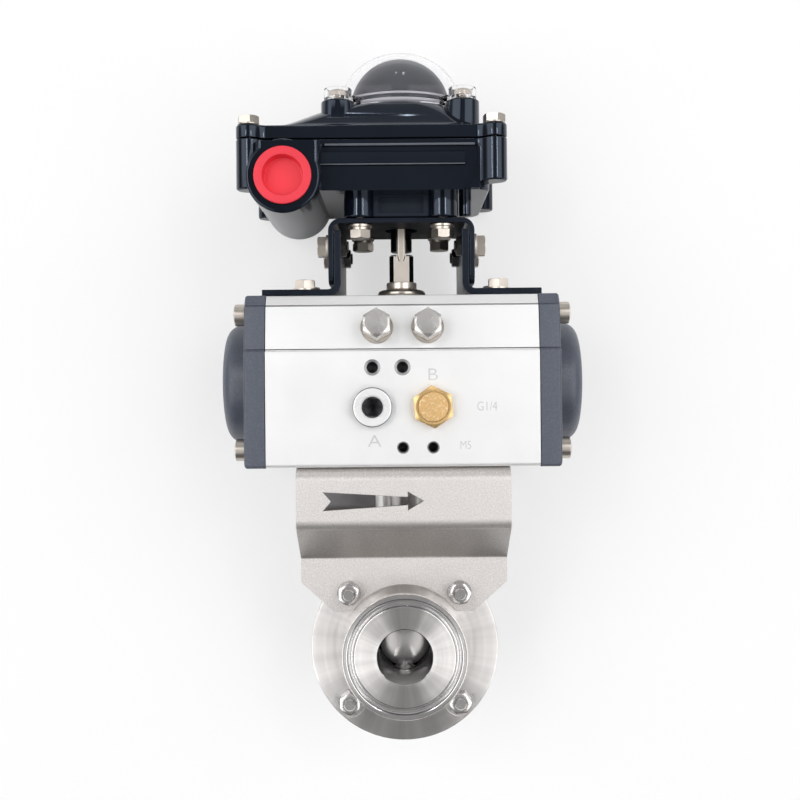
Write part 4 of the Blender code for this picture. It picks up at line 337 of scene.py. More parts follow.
def regular(radius, sides, steps, turn_by=0):
    """Circle, or polygon of as many sides whose flats lie at the radius."""
    points = []
    for index in range(steps):
        angle = TAU * index / steps
        reach = radius
        if sides:
            half = pi / sides
            reach = radius / cos((angle % (2 * half)) - half)
        points.append((reach * cos(angle + turn_by), reach * sin(angle + turn_by)))
    return points


def stack(levels, steps=48, turn_by=0):
    """Round or many-sided sections as (radius or half flats, sides, height)."""
    return loft([(regular(radius, sides, steps, turn_by), z) for radius, sides, z in levels])


def prism(outline, low, high):
    return loft([(outline, low), (outline, high)])


def block(low, high):
    outline = [(low[0], low[1]), (high[0], low[1]), (high[0], high[1]), (low[0], high[1])]
    return prism(outline, low[2], high[2])


def tube(radius, low, high, steps=64, at=(0, 0)):
    return moved(stack([(radius, 0, low), (radius, 0, high)], steps), (at[0], at[1], 0))


def turn(angle, axis):
    return Matrix.Rotation(radians(angle), 4, axis)


TO_FRONT = turn(90, "X")
TO_BACK = turn(-90, "X")
TO_RIGHT = turn(90, "Y")
TO_LEFT = turn(-90, "Y")
UPSIDE_DOWN = turn(180, "X")
SECTION_TO_X = Matrix(((0, 0, 1, 0), (1, 0, 0, 0), (0, 1, 0, 0), (0, 0, 0, 1)))


def quarter_turn(steps):
    """Angles from 0 to 90 degrees."""
    return [QUARTER * index / steps for index in range(steps + 1)]


def swept(centre, radius, start, sweep, count):
    """Points of a circular arc, angles in radians."""
    angles = [start + sweep * index / (count - 1) for index in range(count)]
    return [(centre[0] + radius * cos(a), centre[1] + radius * sin(a)) for a in angles]


def arc(r, z, radius, start, end, points=6):
    """Fillet of a profile round its centre (r, z), angles in degrees."""
    return swept((r, z), radius, radians(start), radians(end - start), points)


def rounded_path(corners, radius, arc_points=9):
    """Open path with corners filleted by radius, or each by its own."""
    path = [corners[0]]
    radii = radius if hasattr(radius, "__len__") else [radius] * (len(corners) - 2)
    points = [Vector(corner) for corner in corners]
    for before, corner, after, radius in zip(points, points[1:], points[2:], radii):
        a, b = (before - corner).normalized(), (after - corner).normalized()
        half = a.angle(b) / 2
        back = radius / tan(half)
        centre = corner + (a + b).normalized() * (radius / sin(half))
        first, last = corner + a * back - centre, corner + b * back - centre
        start = atan2(first.y, first.x)
        sweep = (atan2(last.y, last.x) - start + pi) % TAU - pi
        path += swept(centre, radius, start, sweep, arc_points)
    path.append(corners[-1])
    return path


def rounded_outline(corners, radius, arc_points=5):
    """Closed outline with every corner filleted by radius, or by its own."""
    outline = []
    for index, corner in enumerate(corners):
        own = radius[index] if hasattr(radius, "__len__") else radius
        three = [corners[index - 1], corner, corners[(index + 1) % len(corners)]]
        outline += rounded_path(three, own, arc_points)[1:-1]
    return outline


def rounded_rectangle(half_x, half_y, corner_r, centre_x=0, per_corner=12):
    points = []
    for quarter, (sign_x, sign_y) in enumerate(((1, 1), (-1, 1), (-1, -1), (1, -1))):
        centre = centre_x + sign_x * (half_x - corner_r), sign_y * (half_y - corner_r)
        points += swept(centre, corner_r, QUARTER * quarter, QUARTER, per_corner)
    return points


def thickened(path, thickness):
    """Outline of a sheet whose middle follows the path."""
    left, right = [], []
    points = [Vector(point) for point in path]
    for before, here, after in zip(points[:1] + points, points, points[1:] + points[-1:]):
        ways = [way.normalized() for way in (here - before, after - here) if way.length > 1e-9]
        mean = sum(ways, Vector((0, 0))).normalized()
        normal = Vector((-mean.y, mean.x))
        across = normal.dot(Vector((-ways[0].y, ways[0].x)))
        reach = normal * (thickness / 2 / across)
        left.append(tuple(here + reach))
        right.append(tuple(here - reach))
    return left + right[::-1]


def placed(name, data):
    """New object in the scene."""
    made = bpy.data.objects.new(name, data)
    bpy.context.scene.collection.objects.link(made)
    return made


def solid(name, mesh):
    data = bpy.data.meshes.new(name)
    mesh.to_mesh(data)
    mesh.free()
    return placed(name, data)


def turned(name, profile, steps=96, *ways):
    """Solid of a profile spun round Z, then turned and moved."""
    return solid(name, moved(lathe(profile, steps), *ways))


def as_mesh(thing):
    """The mesh of a scratch object, which is removed."""
    mesh = bmesh.new()
    mesh.from_mesh(thing.data)
    bpy.data.objects.remove(thing)
    return mesh


def settle(thing):
    """Applies the modifiers to the mesh."""
    graph = bpy.context.evaluated_depsgraph_get()
    data = bpy.data.meshes.new_from_object(thing.evaluated_get(graph))
    old = thing.data
    thing.modifiers.clear()
    thing.data = data
    bpy.data.meshes.remove(old)


def carve(thing, *meshes, operation="DIFFERENCE"):
    tool = solid("tool", together(meshes))
    step = thing.modifiers.new("carve", "BOOLEAN")
    step.operation = operation
    step.solver = "EXACT"
    step.object = tool
    settle(thing)
    bpy.data.objects.remove(tool)


def unite(thing, mesh):
    carve(thing, mesh, operation="UNION")


def soften(thing, width, segments=2, angle=28, flats=True):
    """Rounds the sharp edges, if wanted after joining the parts of flat areas."""
    mesh = bmesh.new()
    mesh.from_mesh(thing.data)
    bmesh.ops.remove_doubles(mesh, verts=mesh.verts, dist=0.002)
    if flats:
        limit = radians(0.3)
        bmesh.ops.dissolve_limit(mesh, angle_limit=limit, verts=mesh.verts, edges=mesh.edges)
    mesh.to_mesh(thing.data)
    mesh.free()
    step = thing.modifiers.new("bevel", "BEVEL")
    step.width = width
    step.segments = segments
    step.limit_method = "ANGLE"
    step.angle_limit = radians(angle)
    step.miter_outer = "MITER_ARC"
    settle(thing)


def ride(thing, look, stands_for, at, rotation=(0, 0, 0), body="housing"):
    """Place, body and the CAD nodes it stands for; the look is not used."""
    thing.location = Vector(at) * MM
    thing.rotation_euler = rotation
    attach(thing, body)
    if stands_for:
        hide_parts(*stands_for)


def dress(
    thing, look, stands_for=(), angle=30, at=(0, 0, 0), rotation=(0, 0, 0), body="housing",
    even=True,
):
    """Metres, look, smooth shading up to the angle, and what ride does."""
    thing.data.transform(Matrix.Scale(MM, 4))
    thing.data.materials.clear()
    thing.data.materials.append(looks[look])
    thing.data.shade_smooth()
    thing.data.set_sharp_from_angle(angle=radians(angle))
    if even:
        step = thing.modifiers.new("normals", "WEIGHTED_NORMAL")
        step.keep_sharp = True
        step.weight = 90
        settle(thing)
    ride(thing, look, stands_for, at, rotation, body)
    return thing


def repeated(mesh, look, name, node, rows, angle=30):
    """One mesh in several places; rows of the names' end, place and rotation."""
    first = None
    for end, *where in rows:
        stands_for = [node + end] if node else []
        if first:
            ride(placed(name + end, first.data), look, stands_for, *where)
        else:
            first = dress(solid(name + end, mesh), look, stands_for, angle, *where)


def repaint(thing, names, choose):
    """Further looks: choose names a face's look from its middle in mm and its normal."""
    for name in names:
        thing.data.materials.append(looks[name])
    for face in thing.data.polygons:
        name = choose(face.center / MM, face.normal)
        if name:
            face.material_index = 1 + names.index(name)


def quarter_name(x, y):
    return ("left" if x < 0 else "right") + ("_front" if y < 0 else "_rear")


# Fasteners
CHAMFER_SLOPE = 0.577


def hexagon(af, low, high, chamfer=0.15, both=False):
    """Hexagon with a 30 degree chamfer on top, or on both ends."""
    corner_r = af / 2 / cos(pi / 6)
    flat_r = af / 2 - chamfer
    drop = (corner_r - flat_r + 1) * CHAMFER_SLOPE
    shape = solid("hexagon", stack([(af / 2, 6, low), (af / 2, 6, high)], 6, pi / 6))
    if both:
        cone = [(0, low), (flat_r, low), (corner_r + 1, low + drop)]
    else:
        cone = [(0, low - 1), (corner_r + 1, low - 1)]
    cone += [(corner_r + 1, high - drop), (flat_r, high), (0, high)]
    carve(shape, lathe(cone, 72), operation="INTERSECT")
    return as_mesh(shape)


def washer(inner, outer, low, high, edge=0.12):
    outside = [(outer - edge, low), (outer, low + edge), (outer, high - edge), (outer - edge, high)]
    return lathe([(inner, low)] + outside + [(inner, high)], 64)


def spring_washer(inner, outer, low, high):
    """Split ring with a slanted gap."""
    ring = solid("spring_washer", washer(inner, outer, low, high, 0.1))
    gap = block((inner - 1, -0.35, low - 1), (outer + 1, 0.35, high + 1))
    carve(ring, moved(gap, turn(12, "X")))
    return as_mesh(ring)


def threaded_end(radius, low, high, pitch=0.8):
    """Screw end with thread grooves and a chamfer."""
    profile = [(0, low), (radius - 0.3, low)]
    z = low + pitch / 2
    while z < high - 0.5:
        profile += [(radius, z), (radius - 0.38, z + pitch / 2)]
        z += pitch
    profile += [(radius, high - 0.45), (radius - 0.45, high), (0, high)]
    return lathe(profile, 48)


def hexagon_socket(af, top, deep):
    """Cutter of a hexagon socket with a drilled floor."""
    wide = af / 2 / cos(pi / 6)
    floor = top - deep
    return stack([(0.05, 6, floor - wide * 0.5), (af / 2, 6, floor), (af / 2, 6, top + 1)], 6)


# Valve halves: profile as (radius, distance from the middle of the valve)
BODY_PROFILE = (
    [(11.05, 32.75), (11.3, 33), (20.1, 33), (20.3, 32.9), (20.7, 32), (21.2, 31.6)]
    + [(21.75, 31.5), (22.3, 31.6), (22.8, 32), (23.2, 32.9), (23.4, 33)]
    + arc(24.85, 32.6, 0.4, 90, 0, 4)
    + arc(24.85, 30.55, 0.4, 0, -70, 4)
    + arc(16.2, 28.1, 1.2, 110, 180, 5)
    + arc(16.5, 14.2, 1.5, 180, 270, 6)
    + arc(38.4, 12.1, 0.6, 90, 0, 5)
    + arc(38.7, 0.45, 0.3, 0, -90, 3)
    + [(16.8, 0.15), (16.8, 7.3), (11.05, 7.3)]
)
BOLT_AT = 22.87
FLANGE_BOLTS = {"upper": [(-BOLT_AT, BOLT_AT), (BOLT_AT, BOLT_AT)]}
FLANGE_BOLTS["lower"] = [(x, -z) for x, z in FLANGE_BOLTS["upper"]]
BOLT_HOLE_R = 2.8


def half_look(middle, normal):
    """Bore polished, walls of the gasket groove in painted shade, the rest of the ferrule bright.
    """
    radius, out = hypot(middle.x, middle.z), abs(middle.y)
    if radius < 11.25:
        return "polished_steel"
    # Painted shade: the dark spring steel look on the steep walls of the groove
    if (20.3 < radius < 20.7 or 22.8 < radius < 23.2) and out > 31.9:
        return "spring_steel"
    if 20.12 < radius < 25.3 and out > 29.5:
        return "rim"


for name, way in (("front", TO_FRONT), ("rear", TO_BACK)):
    half = turned("valve_half_" + name, BODY_PROFILE, 144, way)
    bolts = FLANGE_BOLTS["upper"] + FLANGE_BOLTS["lower"]
    carve(half, *(moved(tube(BOLT_HOLE_R, -1, 14, 24), way, (x, 0, z)) for x, z in bolts))
    spot_faces = [moved(tube(6.5, 12.2, 15), way, (x, 0, z)) for x, z in FLANGE_BOLTS["lower"]]
    carve(half, *spot_faces)
    carve(half, tube(7.8, 0, 41, 48), tube(7, -28.8, 0, 32))
    dress(half, "turned_steel", ["valve_body_" + name], 24)
    repaint(half, ["polished_steel", "rim", "spring_steel"], half_look)

seat = turned(
    "seat",
    arc(11.35, 6.7, 0.3, 180, 90, 4)
    + arc(16.2, 6.7, 0.3, 90, 0, 4)
    + arc(16.2, -6.7, 0.3, 0, -90, 4)
    + arc(11.35, -6.7, 0.3, -90, -180, 4),
    96,
    TO_FRONT,
)
carve(seat, tube(5.75, -18, 18, 48))
dress(seat, "rubber", ["seat_ring"])

# Disc: a lens with a small rim, its hubs and the stem
DISC_R, DISC_STEPS = 10.6, 24
lens = []
for index in range(DISC_STEPS + 1):
    angle = QUARTER * (index / DISC_STEPS)
    lens.append((DISC_R * sin(angle), 1 + 3.1 * cos(angle) ** 1.25))
lens += [(DISC_R, 0.8), (DISC_R, -0.8)] + [(radius, -height) for radius, height in lens[::-1]]
disc = turned("disc", lens, 96, TO_FRONT)
stem = lathe(
    [(0, -26), (3.8, -26), (4.2, -25.6), (4.2, -17), (5.4, -16.4), (5.4, -11.4)]
    + [(3.6, -10.9), (2.9, -10.2), (2.7, -8), (2.7, 8), (2.9, 10.2), (3.6, 10.9)]
    + [(5.4, 11.4), (5.4, 16.4), (5, 16.9), (5, 42.2), (0, 42.2)],
    64,
)
unite(disc, stem)
unite(disc, stack([(3.5, 4, 41), (3.5, 4, 55.8), (3.1, 4, 56.2)]))
dress(disc, "disc", ["disc_and_stem"], 35, body="rotor")

# Bent sheet between valve and actuator
THROUGH = (-40, 40)
half_path = [(14, 15.1), (14, 38), (35, 52.7), (35, 74.7)]
path = half_path + [(-y, z) for y, z in reversed(half_path)]
bends = [2, 5, 4.2]
sheet = prism(thickened(rounded_path(path, bends + bends[::-1], 13), 2), -42.75, 42.75)
sheet = solid("valve_bracket_sheet", moved(sheet, SECTION_TO_X))
chamfers = [[(sign * 44, 14), (sign * 27.9, 14), (sign * 44, 28.6)] for sign in (-1, 1)]
carve(sheet, *(moved(prism(outline, *THROUGH), TO_FRONT) for outline in chamfers))
carve(sheet, moved(tube(26.2, *THROUGH, 144), TO_FRONT))
bolt_holes = together([tube(BOLT_HOLE_R, *THROUGH, 32, at) for at in FLANGE_BOLTS["upper"]])
carve(sheet, moved(bolt_holes, TO_FRONT))
arrow = [(-32, 58.9), (1.7, 61), (1.7, 58.9), (8.1, 62.6), (1.7, 66.3), (1.7, 64.2)]
arrow += [(-32, 66.3), (-28.8, 62.6)]
carve(sheet, moved(prism(arrow, 30, 40), TO_FRONT))
carve(sheet, tube(9, 70, 80))
soften(sheet, 0.35, 3)


def sheet_look(middle, normal):
    """Inner faces painted in shade, the sloping outer face painted in shade."""
    inner = 44 < middle.z < 73 and abs(middle.y) < 35.99 and normal.y * middle.y < 0.3
    if inner and abs(middle.x) < 42:
        return "inside"
    if normal.z < -0.7 and 38 < middle.z < 53:
        return "shaded"


dress(sheet, "blasted_steel", angle=25)
repaint(sheet, ["inside", "shaded"], sheet_look)
SCREW_AT = 12.73
button = [(0, 71.2), (1.5, 71.2), (1.5, 70.9)] + arc(1.9, 73.6, 2.7, -100, 0, 7) + [(0, 73.7)]
places = [(x, y, 0) for x in (-SCREW_AT, SCREW_AT) for y in (-SCREW_AT, SCREW_AT)]
screws = [moved(lathe(button, 48), at) for at in places]
dress(solid("valve_bracket_screws", together(screws)), "screw_steel", ["valve_bracket"])

# Flange bolts: washer, nut and screw end in front, washer and hexagon head behind
for level, seat_out in (("upper", 15), ("lower", 12.2)):
    low = seat_out + 0.3
    nut = solid("nut", hexagon(8, low + 1, low + 5, both=True))
    carve(nut, tube(2.62, 0, 60, 48))
    pieces = [
        washer(2.7, 5, low, low + 1),
        as_mesh(nut),
        threaded_end(2.5, low + 0.4, low + 5.9),
        moved(washer(2.7, 5, low, low + 1), UPSIDE_DOWN),
        moved(hexagon(8, low + 1, low + 4.5), UPSIDE_DOWN),
    ]
    rows = []
    for side, twist, (x, z) in zip(("left", "right"), (0, 0.45), FLANGE_BOLTS[level]):
        rows.append((side, (x, 0, z), (QUARTER, twist, 0)))
    repeated(together(pieces), "screw", level + "_flange_bolt_", f"flange_bolt_{level}_", rows, 35)

# Coupling between stem and pinion
coupling = turned(
    "coupling",
    arc(11.4, 43.1, 0.6, -90, 0, 5)
    + [(12, 55), (11.75, 55.3), (12, 55.6)]
    + arc(11.4, 71.8, 0.6, 0, 90, 5)
    + [(3.9, 72.4), (3.9, 42.5)],
)
unite(coupling, stack([(5.5, 4, 70), (5.5, 4, 88.4), (5.1, 4, 89)]))
dress(coupling, "turned_up", ["drive_coupling"], body="rotor")


# Actuator
def actuator_section(grow=0):
    """Outline as (y, z): port pad and sloped shoulder with a fine groove in front, plain back."""
    front = [(-31.4, 140.9), (-30.8, 140.8), (-30.8, 140.4), (-31.8, 140.3), (-34.3, 123.2)]
    front += [(-33.7, 122.9), (-33.7, 122.3), (-35.5, 122.3)]
    corners = [(-35.5 - grow, 76 - grow), (31 + grow, 76 - grow), (31 + grow, 122.3)]
    corners += [(29.8 + grow, 140.1), (26.9 + grow, 144.8 + grow), (-29 - grow, 144.8 + grow)]
    corners += [(y - grow, z) for y, z in front]
    radii = [1.5, 1, 3, 1.2, 0.8, 0.8, 0.1, 0.1, 0.1, 0.25, 0.2, 0.15, 0.15, 0.4]
    return rounded_outline(corners, radii)


AXIS = (0, 0, 110)
PAD_Y = -35.5
PORT_X, PORT_Z = 12, 99.8
STOP_TILT = degrees(atan2(2.4, 17.8))
STOP_X, STOP_Y, STOP_Z = 10.1, -33.06, 131.5
# Pilot holes: x, z, their radius and that of the countersink
PILOTS = [(-12, 115.6, 2.1, 3.25), (0, 115.6, 2.1, 3.25)]
PILOTS += [(0, 83.7, 1.75, 2.45), (12, 83.7, 1.75, 2.45)]
case = prism(actuator_section(), -54.5, 54.5)
case = solid("actuator_case", moved(case, SECTION_TO_X))
carve(case, moved(tube(26, -60, 60, 96), TO_RIGHT, AXIS))
carve(case, tube(13.3, 70, 110))
carve(case, tube(12.3, 110, 150))
holes = [moved(tube(6.5, 0, 40, 48), TO_FRONT, (x, 0, PORT_Z)) for x in (-PORT_X, PORT_X)]
for x, z, inner, outer in PILOTS:
    hole = [(0, 27.5), (inner, 28.6)]
    depth = 29
    while depth < 34.2:
        hole += [(inner, depth), (inner + 0.35, depth + 0.4)]
        depth += 0.8
    hole += [(inner, 34.6), (inner + 0.2, 34.8), (outer, 35.25), (outer, 36.5), (0, 36.5)]
    holes.append(moved(lathe(hole, 40), TO_FRONT, (x, 0, z)))
for x in (-STOP_X, STOP_X):
    slanted = moved(tube(3.3, -12.3, 2, 32), turn(90 - STOP_TILT, "X"), (x, STOP_Y, STOP_Z))
    holes.append(slanted)
carve(case, *holes)


def case_look(middle, normal):
    """Holes in painted shade, countersinks and the grooves of the shoulder in painted shade."""
    front = abs(middle.x) < 20 and 80 < middle.z < 121
    if front and -34.7 < middle.y < -5:
        return "hole"
    if front and -35.49 < middle.y < 0:
        return "sink"
    if middle.y < -33.6 and 122.25 < middle.z < 123.15 and normal.y > -0.95:
        return "groove"
    if -31.3 < middle.y < -30.5 and 140.3 < middle.z < 140.95:
        return "sink"


dress(case, "aluminium", ["actuator_body"], 28)
repaint(case, ["hole", "sink", "groove"], case_look)

MARK_PROUD = 0.01
SIZE_BY_HEIGHT = 1.42


def mark(name, text, at, high, wide):
    """Laser-marked sign, a hair proud of the front pad, with its middle at (x, z)."""
    curve = bpy.data.curves.new(name, "FONT")
    curve.body = text
    curve.size = high * SIZE_BY_HEIGHT
    curve.align_x = "CENTER"
    curve.align_y = "CENTER"
    curve.resolution_u = 4
    curve.extrude = 0.015
    curve.offset = -0.012 * high
    drawn = placed(name + "_curve", curve)
    graph = bpy.context.evaluated_depsgraph_get()
    data = bpy.data.meshes.new_from_object(drawn.evaluated_get(graph))
    mesh = bmesh.new()
    mesh.from_mesh(data)
    bpy.data.objects.remove(drawn)
    bpy.data.meshes.remove(data)
    bmesh.ops.scale(mesh, vec=(wide, 1, 1), verts=mesh.verts)
    thing = solid(name, moved(mesh, TO_FRONT, (at[0], PAD_Y - MARK_PROUD, at[1])))
    dress(thing, "mark")


mark("mark_port_b", "B", (11.9, 112.4), 4.9, 1.2)
mark("mark_port_a", "A", (-11.3, 86.2), 4.9, 1.2)
mark("mark_port_thread", "G1/4", (33.4, 99.7), 3.7, 0.78)
mark("mark_pilot_thread", "M5", (24.8, 84.4), 3.3, 0.8)

# End caps: a plate with a round spring pocket; the left one is the right one mirrored
CAP_SCREWS = [(-24, 82.8), (-24, 137.5), (24, 82.8), (24, 137.5)]
levels = [(0.25, 54.8), (0.25, 62.1), (0, 62.6), (-0.35, 63), (-0.95, 63.2)]
plate = loft([(actuator_section(grow), x) for grow, x in levels])
cup = (
    [(0, 71), (20.5, 71), (20.5, 52.5), (25.7, 52.5), (25.7, 59)]
    + [(27, 62.8), (26.2, 63.3), (25.4, 64.1)]
    + arc(19, 67.8, 6, 0, 90, 12)
    + [(0, 73.8)]
)
cap = solid("cap", moved(plate, SECTION_TO_X))
carve(cap, moved(tube(23, 50, 70, 96), TO_RIGHT, AXIS))
unite(cap, moved(lathe(cup, 128), TO_RIGHT, AXIS))
carve(cap, *(moved(tube(2.7, 50, 66, 32), TO_RIGHT, (0, y, z)) for y, z in CAP_SCREWS))
right = as_mesh(cap)
left = right.copy()
bmesh.ops.scale(left, vec=(-1, 1, 1), verts=left.verts)
bmesh.ops.reverse_faces(left, faces=left.faces)
for side, mesh in (("left", left), ("right", right)):
    dress(solid("cap_" + side, mesh), "cap_paint", ["end_cap_" + side], 35)

cap_screw = turned(
    "cap_screw",
    [(2.4, 0), (4.3, 0), (4.45, 0.15), (4.45, 3.8)]
    + arc(3.95, 3.8, 0.5, 0, 90, 4)
    + [(0, 4.3), (0, 0)],
    48,
)
carve(cap_screw, hexagon_socket(4, 4.3, 2.6))
unite(cap_screw, tube(2.4, -12, 0.5, 32))
rows = []
for sign in (-1, 1):
    for y, z in CAP_SCREWS:
        name = quarter_name(sign, y) + ("_upper" if z > AXIS[2] else "_lower")
        rows.append((name, (sign * 63.5, y, z), (0, sign * QUARTER, 0)))
repeated(as_mesh(cap_screw), "screw_steel", "cap_bolt_", "cap_screw_", rows)

# Stroke stops on the sloped shoulder
stop = together([hexagon(10.4, 1.8, 10.7, 0.7, both=True), tube(3, -12, 2, 32)])
tilt = (QUARTER - radians(STOP_TILT), 0, 0)
rows = [("left", (-STOP_X, STOP_Y, STOP_Z), tilt), ("right", (STOP_X, STOP_Y, STOP_Z), tilt)]
repeated(stop, "forged", "stop_", "stop_bolt_", rows)
repeated(washer(3.3, 6.5, 0.3, 1.5), "screw_steel", "stop_ring_", "stop_washer_", rows)


# Port fittings
def plug_look(middle, normal):
    """Socket in painted shade, outer edge in painted shade."""
    radius = hypot(middle.x, middle.y)
    if radius < 4.5 and -7 < middle.z < 3.45:
        return "hole"
    if radius > 7.45:
        return "spring_steel"


plug = turned(
    "plug_a",
    [(0, -8.5), (5.9, -8.5), (5.9, 0.3), (7.7, 0.3), (7.9, 0.5), (7.9, 3.1)]
    + arc(7, 3.1, 0.9, 0, 90, 6)
    + [(0, 4)],
)
carve(plug, lathe([(0, 2.6), (4.2, 2.6), (4.2, 3.5), (4.75, 4.05), (4.75, 5), (0, 5)], 64))
carve(plug, hexagon_socket(7, 4, 8.6))
port_a, port_b = (-PORT_X, PAD_Y, PORT_Z), (PORT_X, PAD_Y, PORT_Z)
dress(plug, "chrome", ["port_plug_a"], at=port_a, rotation=(QUARTER, 0.1, 0))
repaint(plug, ["hole", "spring_steel"], plug_look)
silencer = solid("silencer", hexagon(14.8, 0.3, 4.4, 0.5))
carve(silencer, lathe([(6, 3.6), (6.2, 6), (0, 6), (0, 3.6)], 64))
unite(silencer, tube(5.9, -8.5, 1, 48))
dress(silencer, "brass", ["silencer_b"], at=port_b, rotation=(QUARTER, -0.08, 0))
sinter = [(0, 3), (5.95, 3), (5.95, 4.5)] + arc(5.5, 4.55, 0.4, 0, 90, 4) + [(0, 5)]
dress(turned("silencer_disc", sinter, 64), "sinter", at=port_b, rotation=(QUARTER, 0, 0))

# Bracket of the switch box: a U of sheet on two angled feet, with its bolts
BOX_BOLT_X, BOX_BOLT_Y = 16.9, 19.5
BOX_BOLTS = [(x, y) for x in (-BOX_BOLT_X, BOX_BOLT_X) for y in (-BOX_BOLT_Y, BOX_BOLT_Y)]
SIDE_BOLTS = [(0, y, 165.5) for y in (-BOX_BOLT_Y, BOX_BOLT_Y)]
FOOT_BOLT_X, FOOT_BOLT_Y = 40, 15
SHEET_HOLE_R = 2.75


def side_holes():
    return [moved(tube(SHEET_HOLE_R, -32, 32, 32), TO_RIGHT, at) for at in SIDE_BOLTS]


def bracket_look(middle, normal):
    """Underside dulled and darkened: painted shade."""
    if normal.z < -0.9 and middle.z > 174:
        return "painted_shade_under"


def bent_sheet(name, path, thickness):
    sheet = prism(thickened(rounded_path(path, 4), thickness), -24, 24)
    return solid(name, moved(sheet, TO_FRONT))


path = [(-28.8, 149.9), (-28.8, 175.7), (28.8, 175.7), (28.8, 149.9)]
u_sheet = bent_sheet("u_bracket", path, 2)
ends = []
for sign in (-1, 1):
    outline = [(25, 149), (25, 154.9), (24, 154.4)] + arc(19.5, 154.4, 4.5, 0, -90, 7)
    outline = [(sign * y, z) for y, z in outline + [(19.5, 149)]]
    ends.append(moved(prism(outline, -32, 32), SECTION_TO_X))
carve(u_sheet, *ends)
carve(u_sheet, *(tube(SHEET_HOLE_R, 170, 180, 32, at) for at in BOX_BOLTS), tube(7, 170, 180))
carve(u_sheet, *side_holes())
soften(u_sheet, 0.25)
dress(u_sheet, "bracket_paint", ["top_bracket"], 25)
repaint(u_sheet, ["painted_shade_under"], bracket_look)
for name, sign, way in (("left", -1, TO_LEFT), ("right", 1, TO_RIGHT)):
    path = [(sign * 26.1, 172), (sign * 26.1, 146.5), (sign * 56.9, 146.5)]
    foot = bent_sheet("angle_foot_" + name, path, 2.8)
    carve(foot, *side_holes())
    foot_bolts = [(sign * FOOT_BOLT_X, y) for y in (-FOOT_BOLT_Y, FOOT_BOLT_Y)]
    carve(foot, *(tube(SHEET_HOLE_R, 140, 150, 32, at) for at in foot_bolts))
    soften(foot, 0.25)
    dress(foot, "bracket_paint", ["foot_" + name], 25)
    bolts, nuts = [], []
    for x, y in foot_bolts:
        bolt = [washer(2.6, 5, 147.9, 148.9), hexagon(8, 148.9, 152.4)]
        bolt.append(threaded_end(2.45, 138, 149))
        bolts.append(moved(together(bolt), (x, y, 0)))
    for at in SIDE_BOLTS:
        bolt = [washer(2.6, 5, 29.8, 30.8), hexagon(8, 30.8, 34.3)]
        nut = [hexagon(7.6, 22.4, 25.2, both=True), threaded_end(2.45, 21.6, 30)]
        bolts.append(moved(together(bolt), way, at))
        nuts.append(moved(together(nut), way, at))
    dress(solid("bracket_bolts_" + name, together(bolts)), "milled")
    dress(solid("bracket_nuts_" + name, together(nuts)), "burnished_and_painted_shade")

box_bolt = together([
    washer(2.6, 5, -1.3, -0.3),
    spring_washer(2.7, 4.3, -2.5, -1.3),
    moved(hexagon(8, 2.5, 6), UPSIDE_DOWN),
    tube(2.4, -3, 9.3, 32),
])
rows = []
for x, y in BOX_BOLTS:
    spin = (0.3 if x < 0 else -0.2) + y / 90
    rows.append((quarter_name(x, y), (x, y, 174.7), (0, 0, spin)))
repeated(box_bolt, "screw_steel", "base_bolt_", "box_bolt_", rows)

# Thrust washer and pinion: gear, journals, collar and milled head
ring = arc(9.7, 147.2, 0.4, -90, 0, 4) + arc(8.6, 147.7, 1.5, 0, 90, 7)
ring = turned("thrust_ring", ring + [(6, 149.2), (6, 146.8)])
dress(ring, "screw_steel", ["thrust_washer"], body="rotor")
TEETH, MODULE, PITCH_R = 12, 1.5, 9
TIP_R, ROOT_R = 10.35, 7.28
BACKLASH = 0.2


def gear_outline():
    """Involute teeth at a pressure angle of 25 degrees."""
    pressure = radians(25)
    base_r = PITCH_R * cos(pressure)
    half_at_pitch = (pi * MODULE / 2 - BACKLASH) / 2 / PITCH_R
    flank = [(ROOT_R, half_at_pitch + 0.055)]
    for index in range(7):
        radius = base_r + (TIP_R - base_r) * index / 6
        roll = acos(min(1, base_r / radius))
        slip = (tan(pressure) - pressure) - (tan(roll) - roll)
        flank.append((radius, half_at_pitch + slip))
    outline = []
    for tooth in range(TEETH):
        middle = QUARTER + TAU * tooth / TEETH
        outline += [(radius, middle - half) for radius, half in flank]
        outline += [(radius, middle + half) for radius, half in reversed(flank)]
    return [(radius * cos(angle), radius * sin(angle)) for radius, angle in outline]


def pinion_look(middle, normal):
    """Cut corners of the head in painted shade, darker than its flats."""
    cut_corner = abs(abs(normal.x) - abs(normal.y)) < 0.2 and abs(normal.z) < 0.3
    if cut_corner and 152.6 < middle.z < 163.6:
        return "burnished_and_painted_shade"


pinion = solid("drive_pinion", prism(gear_outline(), 100, 120))
unite(pinion, lathe(
    [(0, 76.3), (9.6, 76.3), (10, 76.7), (10, 99.7), (7.2, 99.7), (7.2, 120.3), (9, 120.3)]
    + [(9, 144.1), (8.7, 144.5), (5.7, 144.5), (5.7, 149.5), (6.2, 149.5), (6.5, 149.8)]
    + [(6.5, 152.2), (6.2, 152.5), (0, 152.5)],
    64,
))
head = []
for half, z in ((5.1, 151), (5.1, 163.4), (4.3, 164.2)):
    flat = half - 1.8
    corners = [(half, -flat), (half, flat), (flat, half), (-flat, half)]
    head.append((corners + [(-x, -y) for x, y in corners], z))
unite(pinion, loft(head))
carve(pinion, block((-2, -8, 161.4), (2, 8, 166)))
carve(pinion, stack([(5.8, 4, 75), (5.8, 4, 89.4)]))
dress(pinion, "milled", ["pinion"], 25, body="rotor")
repaint(pinion, ["burnished_and_painted_shade"], pinion_look)

# Switch box: outlines of its parts
BOX_X = -11.5
HALF_X, HALF_Y = 47, 36.5
LUG_X, LUG_Y, LUG_R = 48.7, 35, 5
CORNER_R = 8
CONDUIT_X, CONDUIT_Z = -46.2, 190.7


def bearing(start, end):
    return atan2(end[1] - start[1], end[0] - start[0])


